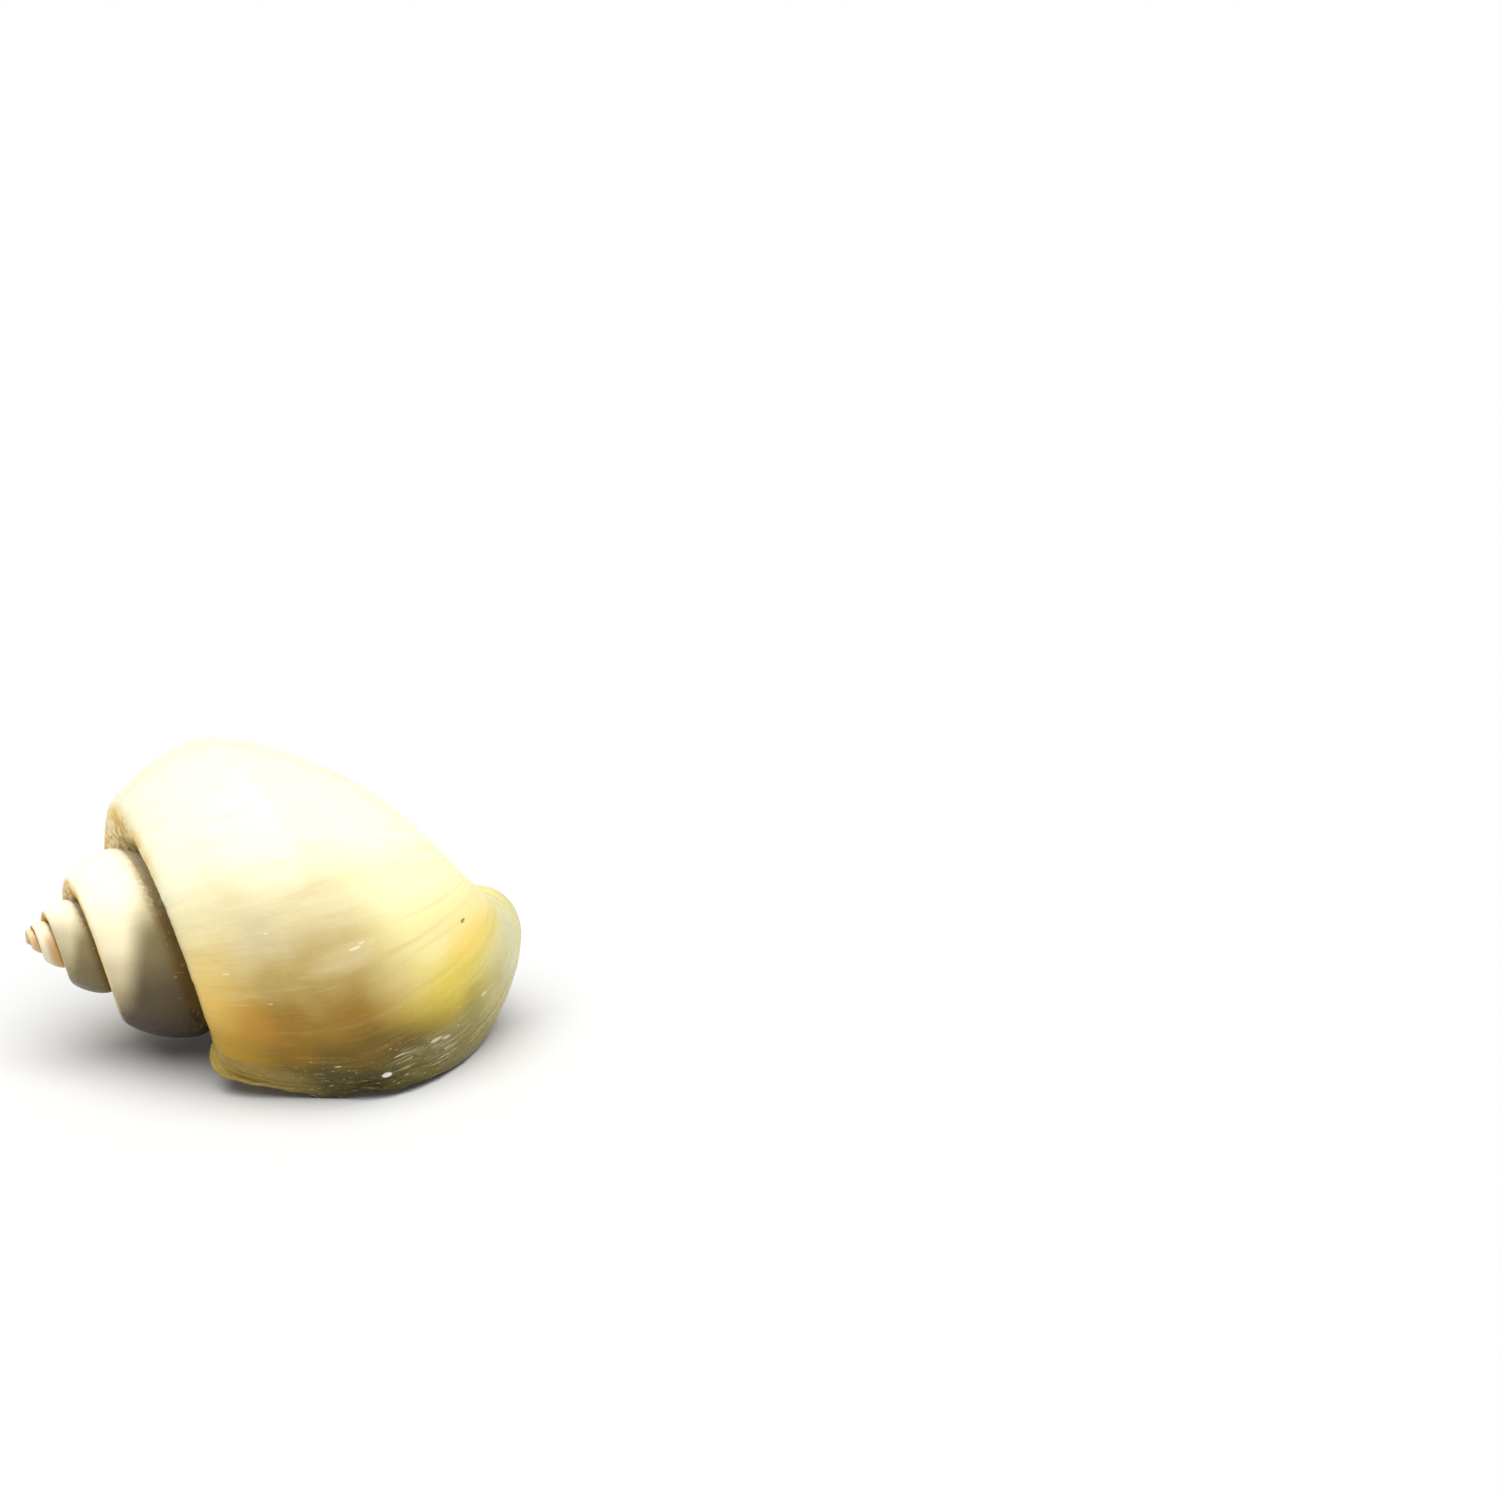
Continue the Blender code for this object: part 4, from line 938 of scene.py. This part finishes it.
def make_flesh():
    """The whole soft body under one skin."""
    skin = bpy.data.objects.new("snail_flesh", fused_skin())
    bpy.context.scene.collection.objects.link(skin)
    fuse = skin.modifiers.new("Fuse", "REMESH")
    fuse.mode = "VOXEL"
    fuse.voxel_size = SKIN_VOXEL
    smooth = skin.modifiers.new("Smooth", "SMOOTH")
    smooth.factor = 0.5
    smooth.iterations = 9
    folds = skin_texture("skin_folds", "CLOUDS", 1.6 * MM)
    grains = skin_texture("skin_grains", "VORONOI", 0.75 * MM)
    add_displacement(skin, "Folds", folds, 0.2 * MM)
    add_displacement(skin, "Grains", grains, -0.09 * MM)
    bpy.context.view_layer.update()
    graph = bpy.context.evaluated_depsgraph_get()
    mesh = bpy.data.meshes.new_from_object(skin.evaluated_get(graph))
    drop_crumbs(mesh)
    skin.modifiers.clear()
    skin.data = mesh
    count = len(mesh.vertices)
    points = np.empty(count * 3, dtype=np.float32)
    mesh.vertices.foreach_get("co", points)
    normals = np.empty(count * 3, dtype=np.float32)
    mesh.vertices.foreach_get("normal", normals)
    points, mouth = sculpt_skin(points.reshape(-1, 3).astype(float), normals.reshape(-1, 3).astype(float))
    points[:, 2] = np.where(points[:, 2] < FLOOR_FLAT, 0.0, points[:, 2])
    mesh.vertices.foreach_set("co", points.astype(np.float32).ravel())
    mesh.update()
    mesh.shade_smooth()
    add_attribute(mesh, "mouth", "FLOAT", mouth)
    return skin


def make_eye(name):
    """An eyeball with a slightly raised clear front, turned out from its stalk."""
    low, high = [Vector(corner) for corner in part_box(name)]
    middle = (low + high) / 2.0
    radius = min(high - low) / 2.0
    stalk = EYE_STALKS[name]
    ahead = (Vector(stalk[1]) - Vector(stalk[0])).normalized()
    ahead = (ahead + Vector((0.35 if name == "eye_right" else -0.35, 0.25, 0.0))).normalized()
    ball = bmesh.new()
    bmesh.ops.create_uvsphere(ball, u_segments=48, v_segments=32, radius=radius)
    for vert in ball.verts:
        way = vert.co.normalized()
        front = max(way.z, 0.0)
        vert.co = vert.co * (1.0 + 0.05 * front ** 4)
    mesh = bpy.data.meshes.new(name + "_ball")
    ball.to_mesh(mesh)
    ball.free()
    front = [vert.co.normalized().z for vert in mesh.vertices]
    add_attribute(mesh, "front", "FLOAT", np.array(front))
    mesh.transform(ahead.to_track_quat("Z", "Y").to_matrix().to_4x4())
    for vert in mesh.vertices:
        vert.co += middle
    mesh.shade_smooth()
    thing = bpy.data.objects.new(name + "_ball", mesh)
    bpy.context.scene.collection.objects.link(thing)
    return thing


def make_lid():
    """The horny lid: a thin dished plate with growth ridges round an off-centre start."""
    sides = 160
    rows = 90
    start = (1.2, 1.9)
    points = []
    rings = []
    for surface in (1.0, -1.0):
        for row in range(rows):
            part = (row + 1) / rows
            if surface < 0.0:
                part = 1.0 - row / rows
            for index in range(sides):
                turn = TURN * index / sides
                edge = lid_outline(turn)
                ripple = 0.012 * math.sin(5.0 * turn + 9.0 * part) * part
                size = part * (1.0 + ripple * (1.0 - part))
                across = start[0] * (1.0 - size) + edge[0] * size * 0.985
                along = start[1] * (1.0 - size) + edge[1] * size * 0.985
                dish = -0.28 + 0.30 * part ** 2 - 0.10 * max(part - 0.9, 0.0) / 0.1
                ridge = 0.035 * math.sin(TURN * 13.0 * part + 0.8 * math.sin(2.0 * turn))
                ridge += 0.02 * math.sin(TURN * 31.0 * part + math.sin(3.0 * turn))
                half = 0.16 + 0.10 * (1.0 - part)
                above = dish + surface * half + (ridge if surface > 0.0 else 0.5 * ridge)
                if part >= 1.0:
                    above = dish + surface * 0.05
                points.append(lid_spot(across, along, above))
                rings.append(part)
    count = len(points)
    points.append(lid_spot(start[0], start[1], -0.28 + 0.26))
    points.append(lid_spot(start[0], start[1], -0.28 - 0.26))
    rings.extend((0.0, 0.0))
    faces = grid_faces(2 * rows, sides).tolist()
    for index in range(sides):
        after = (index + 1) % sides
        faces.append((after, index, count))
        faces.append((count - sides + index, count - sides + after, count + 1))
    lid = new_object("horny_lid", np.array([tuple(point) for point in points]), faces)
    add_attribute(lid.data, "ring", "FLOAT", np.array(rings))
    lid.data.flip_normals()
    lid.data.shade_smooth()
    return lid


def add_floor():
    bpy.ops.mesh.primitive_plane_add(size=6.0)
    floor = bpy.context.object
    floor.name = "floor"
    make = Nodes("pale_floor")
    make.shader.inputs["Base Color"].default_value = rgb(0.68, 0.68, 0.68)
    make.shader.inputs["Roughness"].default_value = 0.9
    floor.data.materials.append(make.material)


def add_sun(name, source, width, power):
    """A soft light from far off, from the direction of source and that wide in degrees."""
    lamp = bpy.data.lights.new(name, "SUN")
    lamp.angle = math.radians(width)
    lamp.energy = power
    thing = bpy.data.objects.new(name, lamp)
    thing.rotation_euler = (-Vector(source)).to_track_quat("-Z", "Y").to_euler()
    bpy.context.scene.collection.objects.link(thing)


def add_camera():
    lens = bpy.data.cameras.new("camera")
    lens.lens = CAMERA_LENS
    lens.sensor_width = 36.0
    lens.clip_start = 0.01
    thing = bpy.data.objects.new("camera", lens)
    thing.location = (APEX + CAMERA_FROM_APEX).tolist()
    thing.rotation_euler = (math.pi / 2.0 - CAMERA_TILT, 0.0, 0.0)
    bpy.context.scene.collection.objects.link(thing)
    bpy.context.scene.camera = thing


def add_world():
    """A soft grey sky that brightens to the floor's own tone near the horizon."""
    world = bpy.data.worlds.new("studio")
    world.use_nodes = True
    tree = world.node_tree
    back = tree.nodes["Background"]
    view = tree.nodes.new("ShaderNodeTexCoord")
    split = tree.nodes.new("ShaderNodeSeparateXYZ")
    fade = tree.nodes.new("ShaderNodeMapRange")
    fade.interpolation_type = "SMOOTHSTEP"
    fade.inputs["From Min"].default_value = 0.02
    fade.inputs["From Max"].default_value = 0.07
    fade.inputs["To Min"].default_value = HORIZON_LIGHT
    fade.inputs["To Max"].default_value = SKY_LIGHT
    tree.links.new(view.outputs["Generated"], split.inputs[0])
    tree.links.new(split.outputs["Z"], fade.inputs["Value"])
    tree.links.new(fade.outputs["Result"], back.inputs["Strength"])
    back.inputs["Color"].default_value = rgb(1.0, 1.0, 1.0)
    bpy.context.scene.world = world


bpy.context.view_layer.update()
shell = make_shell()
shell.data.materials.append(shell_finish())
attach(shell, "root")
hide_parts(*SHELL_NODES)

flesh = make_flesh()
flesh.data.materials.clear()
flesh.data.materials.append(flesh_finish())
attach(flesh, "root")
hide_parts(*FLESH_NODES)

eye_material = eye_finish()
for name in ("eye_left", "eye_right"):
    ball = make_eye(name)
    ball.data.materials.append(eye_material)
    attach(ball, "root")
    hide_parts(name)

lid = make_lid()
lid.data.materials.append(lid_finish())
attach(lid, "root")
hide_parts("operculum")

add_floor()
add_sun("key", (0.0, -0.34, 1.0), 70.0, 3.9)
add_camera()
add_world()
bpy.context.scene.view_settings.view_transform = "Standard"
